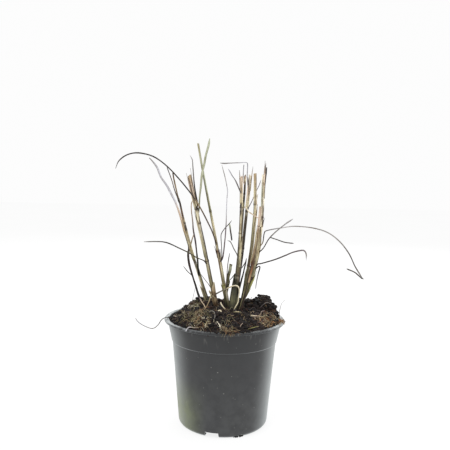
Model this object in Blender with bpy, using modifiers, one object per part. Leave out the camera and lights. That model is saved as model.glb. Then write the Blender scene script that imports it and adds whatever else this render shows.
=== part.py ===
"""Potted miscanthus grass clump: a cut-back clump of dry culms and dead leaves in a nursery pot.

Run it with blender --background --python part.py, or from Blender's text editor.
The scene is in metres and +Z is up. The origin is the bottom centre of the whole object's box,
the pot stands on z = 0, and the front faces -Y. The lengths below are millimetres, which MM turns
into metres, and every x and y is measured from the pot's axis.
"""

import math

import bmesh
import bpy
from mathutils import Vector

MM = 0.001
OBJECT_NAME = "potted_miscanthus_clump"

# The leaves reach further to the right than to the left, so the pot's axis stands this far from
# the middle of the whole object.
POT_AXIS_X = -19.6

# The pot, a two-litre nursery pot.
RIM_RADIUS = 85.0
POT_HEIGHT = 149.0
BASE_RADIUS = 63.6
WALL = 1.4
LIP_WIDTH = 6.4
LIP_THICKNESS = 3.0
COLLAR_HEIGHT = 30.0
COLLAR_FOOT_RADIUS = 74.6
COLLAR_STEP = 1.2
FOOT_ROUNDING = 6.0
FOOT_WIDTH = 4.4
FLOOR_LIFT = 8.2
POT_SIDES = 48
ARC_STEPS = 3

# The drainage: three wide slots through the foot, and round holes through the floor.
SLOT_COUNT = 3
SLOT_WIDTH = 20.5
SLOT_HEIGHT = 7.4
SLOT_TAPER = 0.9
SLOT_TURN = 256.5
HOLE_COUNT = 6
HOLE_RADIUS = 4.5
HOLE_RING_RADIUS = 36.0

# The potting mix fills the pot and is heaped round the crown of the plant.
GAP = 0.3
MIX_EDGE_HEIGHT = 144.0
MIX_CROWN_RISE = 19.0
MIX_RINGS = 9
CULM_DEPTH = 8.0
# Each heap is its middle (x, y), its rise and its spread.
MIX_HEAPS = (
    (62.0, 32.0, 24.0, 14.0),
    (72.0, 12.0, 16.0, 9.0),
    (30.0, 40.0, 9.0, 12.0),
    (-36.0, 46.0, 12.0, 14.0),
    (-12.0, 30.0, 5.0, 14.0),
    (-44.0, -34.0, 5.0, 18.0),
    (4.0, -62.0, 4.0, 16.0),
    (62.0, -22.0, 5.0, 15.0),
)

# Each culm is its foot (x, y), a point half way up and its cut tip (x, y, z), and its
# thickness at the foot and at the tip.
CULMS = {
    "culm_far_left": ((-26, 30), (-54, 42, 250), (-73, 52, 320), 5.6, 2.8),
    "culm_left": ((-12.5, 8), (-32.5, -4, 258), (-52, -20, 350), 6.4, 4.8),
    "culm_tallest": ((4.5, 0), (-17, -2, 272), (-42, 0, 396), 6.4, 2.8),
    "culm_stub": ((-1, 8), (4, 13, 202), (8, 16, 224), 4.8, 4.6),
    "culm_middle": ((11.5, -8), (20, 0, 265), (20, 2, 351), 8.6, 3.6),
    "culm_middle_back": ((14.5, 16), (23, 21, 284), (26, 24, 351), 5.0, 2.8),
    "culm_back": ((15.5, 28), (26.5, 36, 262), (34, 46, 353), 5.0, 4.4),
    "culm_right_front": ((23, 6), (37.5, 2, 267), (38, -8, 355), 5.0, 4.2),
    "culm_right_short": ((21.5, -8), (39.5, -11, 242), (46, -20, 310), 4.4, 3.4),
    "culm_right": ((21.2, 20.5), (46.5, 26, 240), (53, 34, 354), 5.4, 4.8),
}
CULM_RINGS = 7
KNEE_REACH = 0.52

# Each leaf is the points that its midrib runs through, from its culm to its tip, its width at
# the culm, and its width at the tip.
LEAVES = {
    "leaf_arching_left": (
        ((-15, -8, 261), (-21, -10, 277), (-35, -18, 305), (-47, -26, 324), (-63, -34, 344),
         (-80, -42, 362), (-98, -48, 374), (-117, -52, 378), (-131, -54, 375), (-141, -56, 367),
         (-145, -58, 357)), 2.6, 1.2),
    "leaf_low_left": (
        ((-30, -7, 231.5), (-40, -12, 236.5), (-49, -17, 243), (-63, -26, 251), (-80, -38, 260),
         (-94, -46, 262), (-108, -54, 262)), 2.4, 1.4),
    "leaf_arching_right": (
        ((53, 21, 256), (55, 21, 270), (60, 20, 274), (80, 12, 279), (98, 4, 282),
         (121, -6, 281), (140, -16, 276), (155, -26, 265), (167, -34, 249), (174, -40, 233),
         (181, -45, 221), (184, -47, 217)), 2.4, 1.8),
    "leaf_folded_tip": (
        ((181.5, -50, 218.4), (177, -50, 222.4), (171, -50, 227), (160, -52, 231)), 2.0, 1.2),
    "leaf_low_right": (
        ((47, 20, 224.6), (50, 13, 226.4), (57, 3, 230), (69, -4, 235), (81, -10, 241),
         (92, -16, 247), (101, -20, 250), (107, -22, 250.5), (110, -24, 246),
         (110, -26, 237)), 2.2, 1.4),
    "leaf_side_right": (
        ((54, 19, 248), (59, 12, 259), (63, 7, 266), (72, 1, 276), (83, -6, 286),
         (92, -12, 293)), 2.2, 1.2),
    "leaf_side_fork": (
        ((65.5, 3, 264.5), (72, -1, 263), (82, -6, 260), (94, -12, 259)), 1.8, 1.4),
    "leaf_drooping_left": (
        ((-37, 38, 169), (-44, 40, 188), (-48.5, 42, 201), (-53.5, 44, 216), (-56, 46, 231),
         (-55, 48, 244), (-59, 50, 257), (-64, 53, 272), (-69, 56, 289), (-77, 61, 309),
         (-84, 63, 322), (-92, 65, 336), (-101, 68, 348), (-107, 71, 362), (-114, 73, 371),
         (-120, 74, 377)), 2.2, 1.4),
    "leaf_fork_outer": (
        ((-76, 52, 323), (-79, 53, 331), (-83, 54, 344), (-88, 55, 357), (-91, 56, 364)), 2.0, 1.4),
    "leaf_fork_inner": (
        ((-73.5, 47, 323), (-76, 46, 333), (-79, 45, 345), (-81, 44, 356)), 2.2, 1.4),
    "leaf_upright_left": (
        ((-40, 27, 212), (-41, 28, 225), (-43, 26, 240), (-45, 24, 256), (-48, 20, 272),
         (-49, 18, 284), (-51, 16, 300), (-51, 14, 311), (-48, 12, 317)), 2.4, 1.6),
    "sheath_torn_left": (
        ((-49, 34, 232), (-53, 33, 244), (-51, 31, 256), (-47, 28, 267)), 4.0, 1.6),
    "leaf_beside_left_culm": (
        ((-40, -18, 312), (-42.6, -20, 324), (-44.6, -22, 336), (-46, -23, 348), (-47, -25, 360),
         (-48, -26, 371), (-51, -27, 377)), 2.2, 1.2),
    "leaf_upright_crossing": (
        ((-39, -9, 308), (-38.5, -8, 322), (-37, -8, 335), (-35.5, -8, 353), (-33, -7, 365),
         (-30.5, -6, 379), (-27, -5, 392), (-25.5, -4, 402)), 2.6, 2.0),
    "leaf_bent_middle": (
        ((-6, -12, 238), (-6.5, -13, 253), (-7.5, -14, 265), (-7, -15, 271), (-3, -18, 278),
         (2, -21, 284), (7, -24, 290)), 2.4, 1.6),
    "leaf_scrap_middle": (
        ((5, -20.5, 283), (6, -20, 275), (7, -20, 269), (8, -20, 262)), 2.2, 1.6),
    "leaf_pale_middle": (
        ((-4, -9, 236), (-2.5, -8, 246), (-1.5, -7, 258), (-0.5, -6, 272), (0, -6, 286),
         (0, -6, 303), (0.5, -5, 320), (1, -4, 330), (-1, -2, 341), (-4, 0, 353), (-8, 2, 366)),
        1.8, 1.4),
    "leaf_flat_top": (
        ((30, 40, 344), (29.5, 37, 357), (29.5, 35, 368), (27.5, 33, 371.5), (18, 28, 371),
         (6, 20, 370), (-4, 14, 369), (-10.5, 10, 369)), 1.8, 2.6),
    "leaf_pale_stalk": (
        ((23.3, 20.5, 344), (23.3, 20.5, 352), (23.3, 20, 360), (23.5, 19.5, 368)), 1.6, 1.2),
    "leaf_pale_diagonal": (
        ((17, -3, 333.5), (11.5, -10, 344.5), (6.3, -14, 351.5), (1, -18, 360)), 1.8, 1.2),
    "leaf_short_dark": (
        ((0.5, -7, 195), (1.5, -9, 207), (2, -11, 218), (3, -13, 231), (5, -15, 244)), 2.2, 1.6),
    "leaf_scrap_left": (
        ((-49.5, 37.5, 203), (-55.5, 30, 209.5), (-62, 24, 218.5)), 1.6, 1.0),
    "leaf_strand_left": (
        ((-23.5, 8, 195), (-29, 12, 201), (-35.5, 18, 208)), 1.6, 1.0),
    "leaf_dark_fork": (
        ((27, -20, 233), (24.5, -19, 228), (21, -17, 222)), 1.8, 1.0),
    "leaf_grey_low": (
        ((5.5, -13, 206), (9, -11, 208.5), (12, -8, 212)), 1.4, 1.2),
    "leaf_thin_back": (
        ((16, -7, 241), (11, -12, 250), (6, -18, 260), (2, -20, 262)), 2.0, 1.2),
    "leaf_dark_right": (
        ((20, -12, 196), (22.5, -13, 207), (24.5, -14, 215), (26, -15, 223), (27.5, -16, 230),
         (28.5, -17, 238)), 3.6, 1.6),
    "leaf_cross_high": (
        ((32, 33, 306), (35, 32, 312), (38, 30, 319), (43, 24, 332), (46, 21, 339),
         (48, 18, 346)), 1.8, 1.2),
    "leaf_cross_low": (
        ((26, 6, 308), (31, -7, 302), (37, -9, 298), (44, -8, 293)), 2.2, 1.4),
    "leaf_thin_right": (
        ((45, 26, 186), (46, 23, 198.3), (47.6, 20, 210), (49.4, 18, 220.8)), 2.0, 1.2),
    "leaf_over_rim": (
        ((-78, -16, 151.5), (-84, -17, 151.5), (-89, -18, 148), (-93, -20, 142),
         (-100, -22, 137.5), (-110, -24, 141), (-119, -26, 147), (-123, -28, 153)), 1.8, 1.2),
}
LEAF_THINNESS = 0.3
LEAF_RINGS_PER_POINT = 2


def metres(point):
    """A point in millimetres as a vector in metres."""
    return Vector(point) * MM


def material(name, colour, roughness):
    """A plain Principled BSDF finish."""
    made = bpy.data.materials.new(name)
    made.use_nodes = True
    shader = made.node_tree.nodes["Principled BSDF"]
    shader.inputs["Base Color"].default_value = (*colour, 1.0)
    shader.inputs["Roughness"].default_value = roughness
    shader.inputs["Metallic"].default_value = 0.0
    return made


def add_object(name, data, collection, finish=None):
    """A new object at the origin that holds this mesh or curve."""
    made = bpy.data.objects.new(name, data)
    collection.objects.link(made)
    if finish is not None:
        data.materials.append(finish)
    return made


def hide(helper):
    """Marks an object as a cutter or a guide, which isn't part of the model."""
    helper.hide_render = True
    helper.display_type = "WIRE"


def as_mesh(curve, collection, finish=None):
    """Turns a curve object into a closed mesh object of the same name, and removes the curve."""
    bpy.context.view_layer.update()
    graph = bpy.context.evaluated_depsgraph_get()
    mesh = bpy.data.meshes.new_from_object(curve.evaluated_get(graph))
    mesh.materials.clear()
    place = curve.matrix_world.copy()
    name = curve.name
    bpy.data.objects.remove(curve, do_unlink=True)
    shape = bmesh.new()
    shape.from_mesh(mesh)
    bmesh.ops.remove_doubles(shape, verts=shape.verts, dist=0.00001)
    bmesh.ops.recalc_face_normals(shape, faces=shape.faces)
    shape.to_mesh(mesh)
    shape.free()
    made = add_object(name, mesh, collection, finish)
    made.matrix_world = place
    mesh.shade_smooth()
    mesh.set_sharp_from_angle(angle=math.radians(50))
    return made


def cut(target, cutter):
    """Cuts one object from another with an exact Boolean."""
    hide(cutter)
    modifier = target.modifiers.new("cut_" + cutter.name, "BOOLEAN")
    modifier.operation = "DIFFERENCE"
    modifier.solver = "EXACT"
    modifier.object = cutter


# ---------------------------------------------------------------- the pot


def body_radius(height):
    """The pot's outer radius at a height below the collar."""
    collar_foot = POT_HEIGHT - COLLAR_HEIGHT
    top = COLLAR_FOOT_RADIUS - COLLAR_STEP
    share = (height - FOOT_ROUNDING) / (collar_foot - FOOT_ROUNDING)
    return BASE_RADIUS + (top - BASE_RADIUS) * share


def arc(middle, radius, start, end):
    """Points along an arc in the profile's plane, from one angle in degrees to another."""
    points = []
    for step in range(ARC_STEPS + 1):
        angle = math.radians(start + (end - start) * step / ARC_STEPS)
        points.append((middle[0] + radius * math.cos(angle), middle[1] + radius * math.sin(angle)))
    return points


def pot_inside():
    """The pot's inner profile as (radius, height), from the middle of the floor up to the rim."""
    collar_foot = POT_HEIGHT - COLLAR_HEIGHT
    floor_top = FLOOR_LIFT + WALL
    rim_inner = RIM_RADIUS - LIP_WIDTH
    return [
        (0.0, floor_top),
        (body_radius(floor_top) - WALL, floor_top),
        (body_radius(collar_foot) - WALL, collar_foot - 1.0),
        (COLLAR_FOOT_RADIUS - WALL, collar_foot + 1.0),
        (rim_inner, POT_HEIGHT - LIP_THICKNESS),
    ]


def pot_profile():
    """The whole wall as one line, from the floor's top, over the rim and down to its underside."""
    collar_foot = POT_HEIGHT - COLLAR_HEIGHT
    lip_base = POT_HEIGHT - LIP_THICKNESS
    collar_top = RIM_RADIUS - LIP_WIDTH + WALL
    foot_middle = (BASE_RADIUS - FOOT_ROUNDING, FOOT_ROUNDING)
    profile = pot_inside()
    profile += [
        (RIM_RADIUS - LIP_WIDTH + 0.6, POT_HEIGHT),
        (RIM_RADIUS - 1.0, POT_HEIGHT),
        (RIM_RADIUS, POT_HEIGHT - 1.0),
        (RIM_RADIUS, lip_base + 0.6),
        (RIM_RADIUS - 0.6, lip_base),
        (collar_top + 0.8, lip_base - 0.6),
        (collar_top, lip_base - 1.6),
        (COLLAR_FOOT_RADIUS, collar_foot + 0.6),
        (COLLAR_FOOT_RADIUS - 0.4, collar_foot),
        (body_radius(collar_foot), collar_foot - 0.4),
    ]
    profile += arc(foot_middle, FOOT_ROUNDING, 0, -90)
    profile += [
        (BASE_RADIUS - FOOT_ROUNDING - FOOT_WIDTH, 0.0),
        (BASE_RADIUS - FOOT_ROUNDING - FOOT_WIDTH, WALL),
    ]
    profile += arc(foot_middle, FOOT_ROUNDING - WALL, -90, 0)
    profile += [
        (body_radius(FLOOR_LIFT) - WALL, FLOOR_LIFT),
        (0.0, FLOOR_LIFT),
    ]
    return profile


def turned(name, profile, collection, finish):
    """A solid turned about the Z axis from a profile of (radius, height)."""
    mesh = bpy.data.meshes.new(name)
    points = [metres((radius, 0.0, height)) for radius, height in profile]
    edges = [(index, index + 1) for index in range(len(points) - 1)]
    mesh.from_pydata(points, edges, [])
    made = add_object(name, mesh, collection, finish)
    screw = made.modifiers.new("turn", "SCREW")
    screw.axis = "Z"
    screw.angle = math.tau
    screw.steps = POT_SIDES
    screw.render_steps = POT_SIDES
    screw.use_merge_vertices = True
    screw.merge_threshold = 0.00001
    screw.use_smooth_shade = True
    return made


def slot_cutter(index, collection):
    """A block through the foot, a little narrower at its top, for one drainage slot."""
    inner = BASE_RADIUS - FOOT_ROUNDING - FOOT_WIDTH - 4.0
    outer = BASE_RADIUS + 6.0
    below = 2.0
    shape = bmesh.new()
    bmesh.ops.create_cube(shape, size=1.0)
    for vertex in shape.verts:
        taper = SLOT_TAPER if vertex.co.z > 0 else 1.0
        along = inner if vertex.co.x < 0 else outer
        across = vertex.co.y * SLOT_WIDTH * taper
        height = SLOT_HEIGHT if vertex.co.z > 0 else -below
        vertex.co = metres((along, across, height))
    mesh = bpy.data.meshes.new(f"slot_{index}")
    shape.to_mesh(mesh)
    shape.free()
    made = add_object(f"slot_{index}", mesh, collection)
    made.rotation_euler.z = math.radians(SLOT_TURN + index * 360.0 / SLOT_COUNT)
    return made


def hole_cutter(index, collection):
    """A round drain hole through the floor: number 0 is in the middle, and the rest ring it."""
    shape = bmesh.new()
    bmesh.ops.create_cone(
        shape,
        cap_ends=True,
        segments=16,
        radius1=HOLE_RADIUS * MM,
        radius2=HOLE_RADIUS * MM,
        depth=2 * FLOOR_LIFT * MM,
    )
    mesh = bpy.data.meshes.new(f"drain_{index}")
    shape.to_mesh(mesh)
    shape.free()
    made = add_object(f"drain_{index}", mesh, collection)
    if index > 0:
        turn = math.radians(index * 360.0 / HOLE_COUNT)
        made.location.x = HOLE_RING_RADIUS * MM * math.cos(turn)
        made.location.y = HOLE_RING_RADIUS * MM * math.sin(turn)
    made.location.z = (FLOOR_LIFT + 0.5 * WALL) * MM
    return made


def build_pot(collection, cutters):
    """The pot: a thin turned wall with a lip, a collar, a foot and its drainage."""
    finish = material("pot_plastic", (0.052, 0.054, 0.056), 0.45)
    pot = turned("nursery_pot", pot_profile(), collection, finish)
    for index in range(SLOT_COUNT):
        cut(pot, slot_cutter(index, cutters))
    for index in range(HOLE_COUNT + 1):
        cut(pot, hole_cutter(index, cutters))
    return pot


# ---------------------------------------------------------------- the potting mix


def mix_height(x, y):
    """The height of the potting mix's surface at a place, in millimetres."""
    edge = RIM_RADIUS - LIP_WIDTH - GAP
    share = min(1.0, math.hypot(x, y) / edge)
    height = MIX_EDGE_HEIGHT + MIX_CROWN_RISE * (1.0 - share * share) ** 0.8
    for middle_x, middle_y, rise, spread in MIX_HEAPS:
        reach = ((x - middle_x) ** 2 + (y - middle_y) ** 2) / (2.0 * spread * spread)
        height += rise * math.exp(-reach) * (1.0 - share**24)
    return height


def build_potting_mix(collection):
    """The plug of potting mix: the inside of the pot, with a heaped top."""
    finish = material("potting_mix", (0.045, 0.033, 0.024), 0.95)
    inside = pot_inside()
    plug = [(radius - GAP, height + GAP) for radius, height in inside[1:-1]]
    edge_share = (MIX_EDGE_HEIGHT - inside[-2][1]) / (inside[-1][1] - inside[-2][1])
    edge = inside[-2][0] + (inside[-1][0] - inside[-2][0]) * edge_share - GAP
    profile = [(edge * ring / MIX_RINGS, MIX_EDGE_HEIGHT) for ring in range(MIX_RINGS + 1)]
    profile += list(reversed(plug))
    profile.append((0.0, inside[0][1] + GAP))
    guide = turned("potting_mix", profile, collection, finish)
    mix = as_mesh(guide, collection, finish)
    for vertex in mix.data.vertices:
        if vertex.co.z > (MIX_EDGE_HEIGHT - 0.1) * MM:
            vertex.co.z = mix_height(vertex.co.x / MM, vertex.co.y / MM) * MM
    return mix


# ---------------------------------------------------------------- culms and leaves


def bow(foot, knee, tip, steps):
    """Points in metres on the smooth curve from foot to tip that passes through the knee."""
    near = 2.0 * KNEE_REACH * (1.0 - KNEE_REACH)
    handle = (knee - foot * (1.0 - KNEE_REACH) ** 2 - tip * KNEE_REACH**2) / near
    points = []
    for step in range(steps):
        share = step / (steps - 1)
        along = foot * (1.0 - share) ** 2 + handle * 2.0 * share * (1.0 - share)
        points.append(along + tip * share**2)
    return points


def smooth_route(route, steps_per_point):
    """Points in metres on the smooth curve through all the points of a hand-laid route."""
    fixed = [metres(point) for point in route]
    ends = [fixed[0] * 2 - fixed[1]] + fixed + [fixed[-1] * 2 - fixed[-2]]
    points = []
    for index in range(len(fixed) - 1):
        before, start, end, after = ends[index : index + 4]
        for step in range(steps_per_point):
            share = step / steps_per_point
            points.append(
                0.5
                * (
                    start * 2
                    + (end - before) * share
                    + (before * 2 - start * 5 + end * 4 - after) * share**2
                    + (start * 3 - before - end * 3 + after) * share**3
                )
            )
    points.append(fixed[-1])
    return points


def wire(name, points, sizes, collection, section=None):
    """A curve object along the points, round or with the given section, scaled by sizes."""
    data = bpy.data.curves.new(name, "CURVE")
    data.dimensions = "3D"
    spline = data.splines.new("POLY")
    spline.points.add(len(points) - 1)
    for target, place, size in zip(spline.points, points, sizes):
        target.co = (*place, 1.0)
        target.radius = size
    data.use_fill_caps = True
    if section is None:
        data.bevel_depth = MM
        data.bevel_resolution = 2
    else:
        data.bevel_mode = "OBJECT"
        data.bevel_object = section
    return add_object(name, data, collection)


def culm_points(foot, knee, tip):
    """A culm's centre line, from where it goes into the potting mix to its cut tip."""
    ground = Vector((foot[0], foot[1], mix_height(*foot)))
    line = bow(metres(ground), metres(knee), metres(tip), CULM_RINGS)
    down = (line[0] - line[1]).normalized()
    return [line[0] + down * CULM_DEPTH * MM] + line


def culm_sizes(foot_thickness, tip_thickness):
    """A culm's radius at each point of its centre line, in millimetres."""
    sizes = [0.5 * foot_thickness]
    for ring in range(CULM_RINGS):
        share = (ring / (CULM_RINGS - 1)) ** 0.5
        sizes.append(0.5 * (foot_thickness + (tip_thickness - foot_thickness) * share))
    return sizes


def build_culms(mix, collection, cutters):
    """Every culm, each with a socket in the potting mix that it stands in."""
    finish = material("dry_culm", (0.52, 0.45, 0.30), 0.6)
    for name, (foot, knee, tip, foot_thickness, tip_thickness) in CULMS.items():
        points = culm_points(foot, knee, tip)
        sizes = culm_sizes(foot_thickness, tip_thickness)
        as_mesh(wire(name, points, sizes, collection), collection, finish)
        deeper = [points[0] + (points[0] - points[1]).normalized() * GAP * MM] + points[1:3]
        wider = [size + GAP for size in sizes[:3]]
        socket = as_mesh(wire("socket_" + name, deeper, wider, cutters), cutters)
        cut(mix, socket)


def leaf_section(collection):
    """A flat lens, the section of every dead leaf blade, one millimetre from middle to edge."""
    data = bpy.data.curves.new("leaf_section", "CURVE")
    data.dimensions = "2D"
    spline = data.splines.new("POLY")
    outline = ((1.0, 0.0), (0.35, LEAF_THINNESS), (-0.35, LEAF_THINNESS))
    corners = outline + tuple((-x, -y) for x, y in outline)
    spline.points.add(len(corners) - 1)
    for target, (x, y) in zip(spline.points, corners):
        target.co = (x * MM, y * MM, 0.0, 1.0)
    spline.use_cyclic_u = True
    made = add_object("leaf_section", data, collection)
    hide(made)
    return made


def build_leaves(collection, cutters):
    """Every dead leaf, as a thin blade swept along its midrib."""
    finish = material("dead_leaf", (0.30, 0.26, 0.19), 0.7)
    section = leaf_section(cutters)
    for name, (route, foot_width, tip_width) in LEAVES.items():
        points = smooth_route(route, LEAF_RINGS_PER_POINT)
        last = len(points) - 1
        sizes = [
            0.5 * (foot_width + (tip_width - foot_width) * index / last)
            for index in range(last + 1)
        ]
        as_mesh(wire(name, points, sizes, collection, section), collection, finish)


def stand_on_axis(collection, cutters):
    """Parents everything to an empty on the pot's axis, at its place beside the origin."""
    axis = bpy.data.objects.new("pot_axis", None)
    axis.location.x = POT_AXIS_X * MM
    for piece in list(collection.objects) + list(cutters.objects):
        piece.parent = axis
    collection.objects.link(axis)


def main():
    """Clears the scene and builds the pot, the potting mix, the culms and the leaves."""
    for leftover in list(bpy.data.objects):
        bpy.data.objects.remove(leftover, do_unlink=True)
    parts = bpy.data.collections.new(OBJECT_NAME)
    cutters = bpy.data.collections.new("cutters")
    for collection in (parts, cutters):
        bpy.context.scene.collection.children.link(collection)
    build_pot(parts, cutters)
    mix = build_potting_mix(parts)
    build_culms(mix, parts, cutters)
    build_leaves(parts, cutters)
    stand_on_axis(parts, cutters)


main()
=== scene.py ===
"""The looks of a potted miscanthus grass clump: a cut-back clump in a nursery pot of peat.

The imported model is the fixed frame. Every piece made here stands where the frame's own node
stands and takes its place. Plans give lengths in millimetres, measured from the pot's axis at
the level of the ground, and metres() turns such a place into the frame's own metres.
"""

from __future__ import annotations

import logging
import math
import random
from dataclasses import dataclass
from enum import Enum
from typing import Callable, Protocol, Sequence

import bmesh
import bpy
from bmesh.types import BMEdge, BMesh, BMFace, BMVert
from bpy.types import ID, Material, Mesh, Node, NodeOutputs, NodeTree, Object
from bpy.types import NodeSocket as Socket
from mathutils import Matrix, Vector, noise
from mathutils.bvhtree import BVHTree


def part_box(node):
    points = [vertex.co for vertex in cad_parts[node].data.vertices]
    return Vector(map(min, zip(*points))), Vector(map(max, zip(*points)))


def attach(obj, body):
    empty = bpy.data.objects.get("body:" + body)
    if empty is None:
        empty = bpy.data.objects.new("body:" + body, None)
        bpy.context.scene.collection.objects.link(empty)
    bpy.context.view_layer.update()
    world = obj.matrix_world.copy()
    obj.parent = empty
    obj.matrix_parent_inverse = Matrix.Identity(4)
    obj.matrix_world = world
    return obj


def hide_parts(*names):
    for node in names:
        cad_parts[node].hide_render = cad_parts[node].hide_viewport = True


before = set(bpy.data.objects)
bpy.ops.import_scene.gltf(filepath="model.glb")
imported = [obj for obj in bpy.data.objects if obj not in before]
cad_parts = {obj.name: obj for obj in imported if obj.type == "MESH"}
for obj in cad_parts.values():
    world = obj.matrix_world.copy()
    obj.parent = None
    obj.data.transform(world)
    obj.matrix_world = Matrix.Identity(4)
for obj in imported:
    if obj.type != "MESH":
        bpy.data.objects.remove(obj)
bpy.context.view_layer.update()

LOG = logging.getLogger("potted_miscanthus")
BODY = "root"
MM = 0.001
WELD = 0.000005

Colour = tuple[float, float, float]
Place = tuple[float, float, float]


def linear(red: int, green: int, blue: int) -> Colour:
    """Turns a display colour into the linear colour that shaders work in.

    Args:
        red: Red, from 0 to 255.
        green: Green, from 0 to 255.
        blue: Blue, from 0 to 255.

    Returns:
        The three linear channels, from 0 to 1.
    """
    shares = (channel / 255.0 for channel in (red, green, blue))
    return tuple(c / 12.92 if c <= 0.04045 else ((c + 0.055) / 1.055) ** 2.4 for c in shares)


class Tone(Enum):
    """The colours of dry grass, peat and roots."""

    CREAM = linear(236, 228, 206)
    STRAW = linear(208, 197, 162)
    PINK_STRAW = linear(208, 188, 168)
    TAN = linear(172, 151, 119)
    RUST = linear(134, 92, 58)
    ORANGE = linear(188, 136, 88)
    OLIVE_TAN = linear(148, 141, 108)
    OLIVE = linear(102, 97, 66)
    MOSS = linear(54, 55, 38)
    DEEP_OLIVE = linear(76, 74, 50)
    GREEN = linear(108, 114, 60)
    YELLOW_GREEN = linear(158, 156, 88)
    BROWN = linear(92, 70, 51)
    UMBER = linear(55, 42, 33)
    SOOT = linear(26, 22, 20)
    SLATE = linear(74, 70, 67)
    MAUVE = linear(112, 100, 104)
    GREY = linear(136, 132, 128)
    PALE_GREY = linear(176, 174, 176)
    LILAC_GREY = linear(192, 192, 200)
    GREY_GREEN = linear(168, 172, 148)
    ROOT = linear(222, 212, 186)
    PEAT_BLACK = linear(19, 16, 16)
    PEAT = linear(36, 28, 25)
    PEAT_RED = linear(58, 41, 36)
    PEAT_PALE = linear(100, 80, 62)


class Side(Enum):
    """Where on a culm a mark lies, as an angle round it in degrees. The front faces -Y."""

    RIGHT = 0.0
    BACK = 90.0
    LEFT = 180.0
    FRONT_LEFT = 212.0
    FRONT = 270.0
    FRONT_RIGHT = 318.0


class Cut(Enum):
    """How the top of a culm ends."""

    CLEAN = "clean"
    SLANTED = "slanted"
    RAGGED = "ragged"
    WITHERED = "withered"


class Slot(Enum):
    """The record's material slots."""

    POT = "pot_plastic"
    MIX = "potting_mix"
    CULM = "dry_culm"
    LEAF = "dead_leaf"


Stops = tuple[tuple[float, Tone], ...]


def fade(text: str) -> Stops:
    """Reads colour stops from text such as "0 UMBER 0.3 BROWN 1 TAN", each a place and a tone."""
    words = text.split()
    return tuple((float(place), Tone[name]) for place, name in zip(words[::2], words[1::2]))


def tones(text: str) -> tuple[Tone, ...]:
    """Reads a row of tones from text such as "TAN RUST TAN"."""
    return tuple(Tone[name] for name in text.split())


def mixed(first: Colour, second: Colour, share: float) -> Colour:
    """Mixes two colours, from the first at 0 to the second at 1."""
    return tuple(a + (b - a) * share for a, b in zip(first, second))


def scaled(colour: Colour, factor: float) -> Colour:
    """Makes a colour lighter or darker."""
    return tuple(channel * factor for channel in colour)


def toned(stops: Stops, share: float) -> Colour:
    """Reads a row of colour stops.

    Args:
        stops: Each stop's place from 0 to 1, in rising order, and its tone.
        share: The place to read.

    Returns:
        The colour there, mixed smoothly between the two nearest stops.
    """
    if share <= stops[0][0]:
        return stops[0][1].value
    for (start, low), (end, high) in zip(stops, stops[1:]):
        if share <= end:
            return mixed(low.value, high.value, smooth((share - start) / (end - start)))
    return stops[-1][1].value


def smooth(share: float) -> float:
    """Eases a share that runs from 0 to 1 in at both of its ends."""
    held = min(1.0, max(0.0, share))
    return held * held * (3.0 - 2.0 * held)


def between(share: float, start: float, end: float) -> float:
    """Gives how far a number has come from start to end, held from 0 to 1 and eased."""
    return smooth((share - start) / (end - start))


def wave(x: float, y: float, z: float) -> float:
    """Gives a number from -1 to 1 that drifts smoothly from place to place."""
    return noise.noise(Vector((x, y, z)))


# ---- the frame


def pot_axis() -> Vector:
    """Gives the foot of the pot's axis, from the frame's pot."""
    low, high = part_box("nursery_pot")
    return Vector(((low.x + high.x) / 2.0, (low.y + high.y) / 2.0, 0.0))


AXIS = pot_axis()


def metres(place: Sequence[float]) -> Vector:
    """Gives a place in the frame's metres, from millimetres measured from the pot's axis."""
    return AXIS + Vector(place) * MM


class Ground:
    """The top of the potting mix, read from the frame's own solid."""

    reach = 6.0
    socket_depth = 3.0
    bottom = 140.0
    overhead = 300.0

    def __init__(self) -> None:
        """Reads the frame's solid once."""
        graph = bpy.context.evaluated_depsgraph_get()
        self.tree = BVHTree.FromObject(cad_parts["potting_mix"], graph)

    def hit(self, x: float, y: float) -> float | None:
        """Gives the solid's height straight below a place, or None beside it."""
        found = self.tree.ray_cast(metres((x, y, self.overhead)), Vector((0.0, 0.0, -1.0)))
        return None if found[0] is None else found[0].z / MM

    def height(self, x: float, y: float) -> float:
        """Gives the height of the mix, passing over the sockets that the culms stand in.

        Args:
            x: Millimetres to the right of the pot's axis.
            y: Millimetres behind it.

        Returns:
            The height in millimetres.
        """
        here = self.hit(x, y)
        beside = ((self.reach, 0.0), (-self.reach, 0.0), (0.0, self.reach), (0.0, -self.reach))
        around = [self.hit(x + dx, y + dy) for dx, dy in beside]
        around = [z for z in around if z is not None and z > self.bottom]
        if not around:
            return here if here is not None else self.bottom
        mean = sum(around) / len(around)
        if here is None or here < mean - self.socket_depth:
            return mean
        return here


# ---- sections and sweeps


class Section(Protocol):
    """A cross-section, as the offset from a route at a share of the way across or round."""

    def at(self, share: float) -> Vector:
        """Gives the offset in metres."""


@dataclass(frozen=True)
class Round:
    """A round or slightly flattened section, for culms, roots and fibres."""

    radius: float
    flatness: float = 1.0

    def at(self, share: float) -> Vector:
        """Gives the offset at a share of the way round."""
        angle = math.tau * share
        across = self.radius * math.cos(angle)
        return Vector((across, self.radius * self.flatness * math.sin(angle), 0.0)) * MM


@dataclass(frozen=True)
class Wrap:
    """Part of a ring, as a sheath wraps a culm."""

    radius: float
    spread: float
    turn: float

    def at(self, share: float) -> Vector:
        """Gives the offset at a share of the way across the sheath."""
        angle = math.radians(self.turn + (share - 0.5) * self.spread)
        return Vector((math.cos(angle), math.sin(angle), 0.0)) * self.radius * MM


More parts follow.
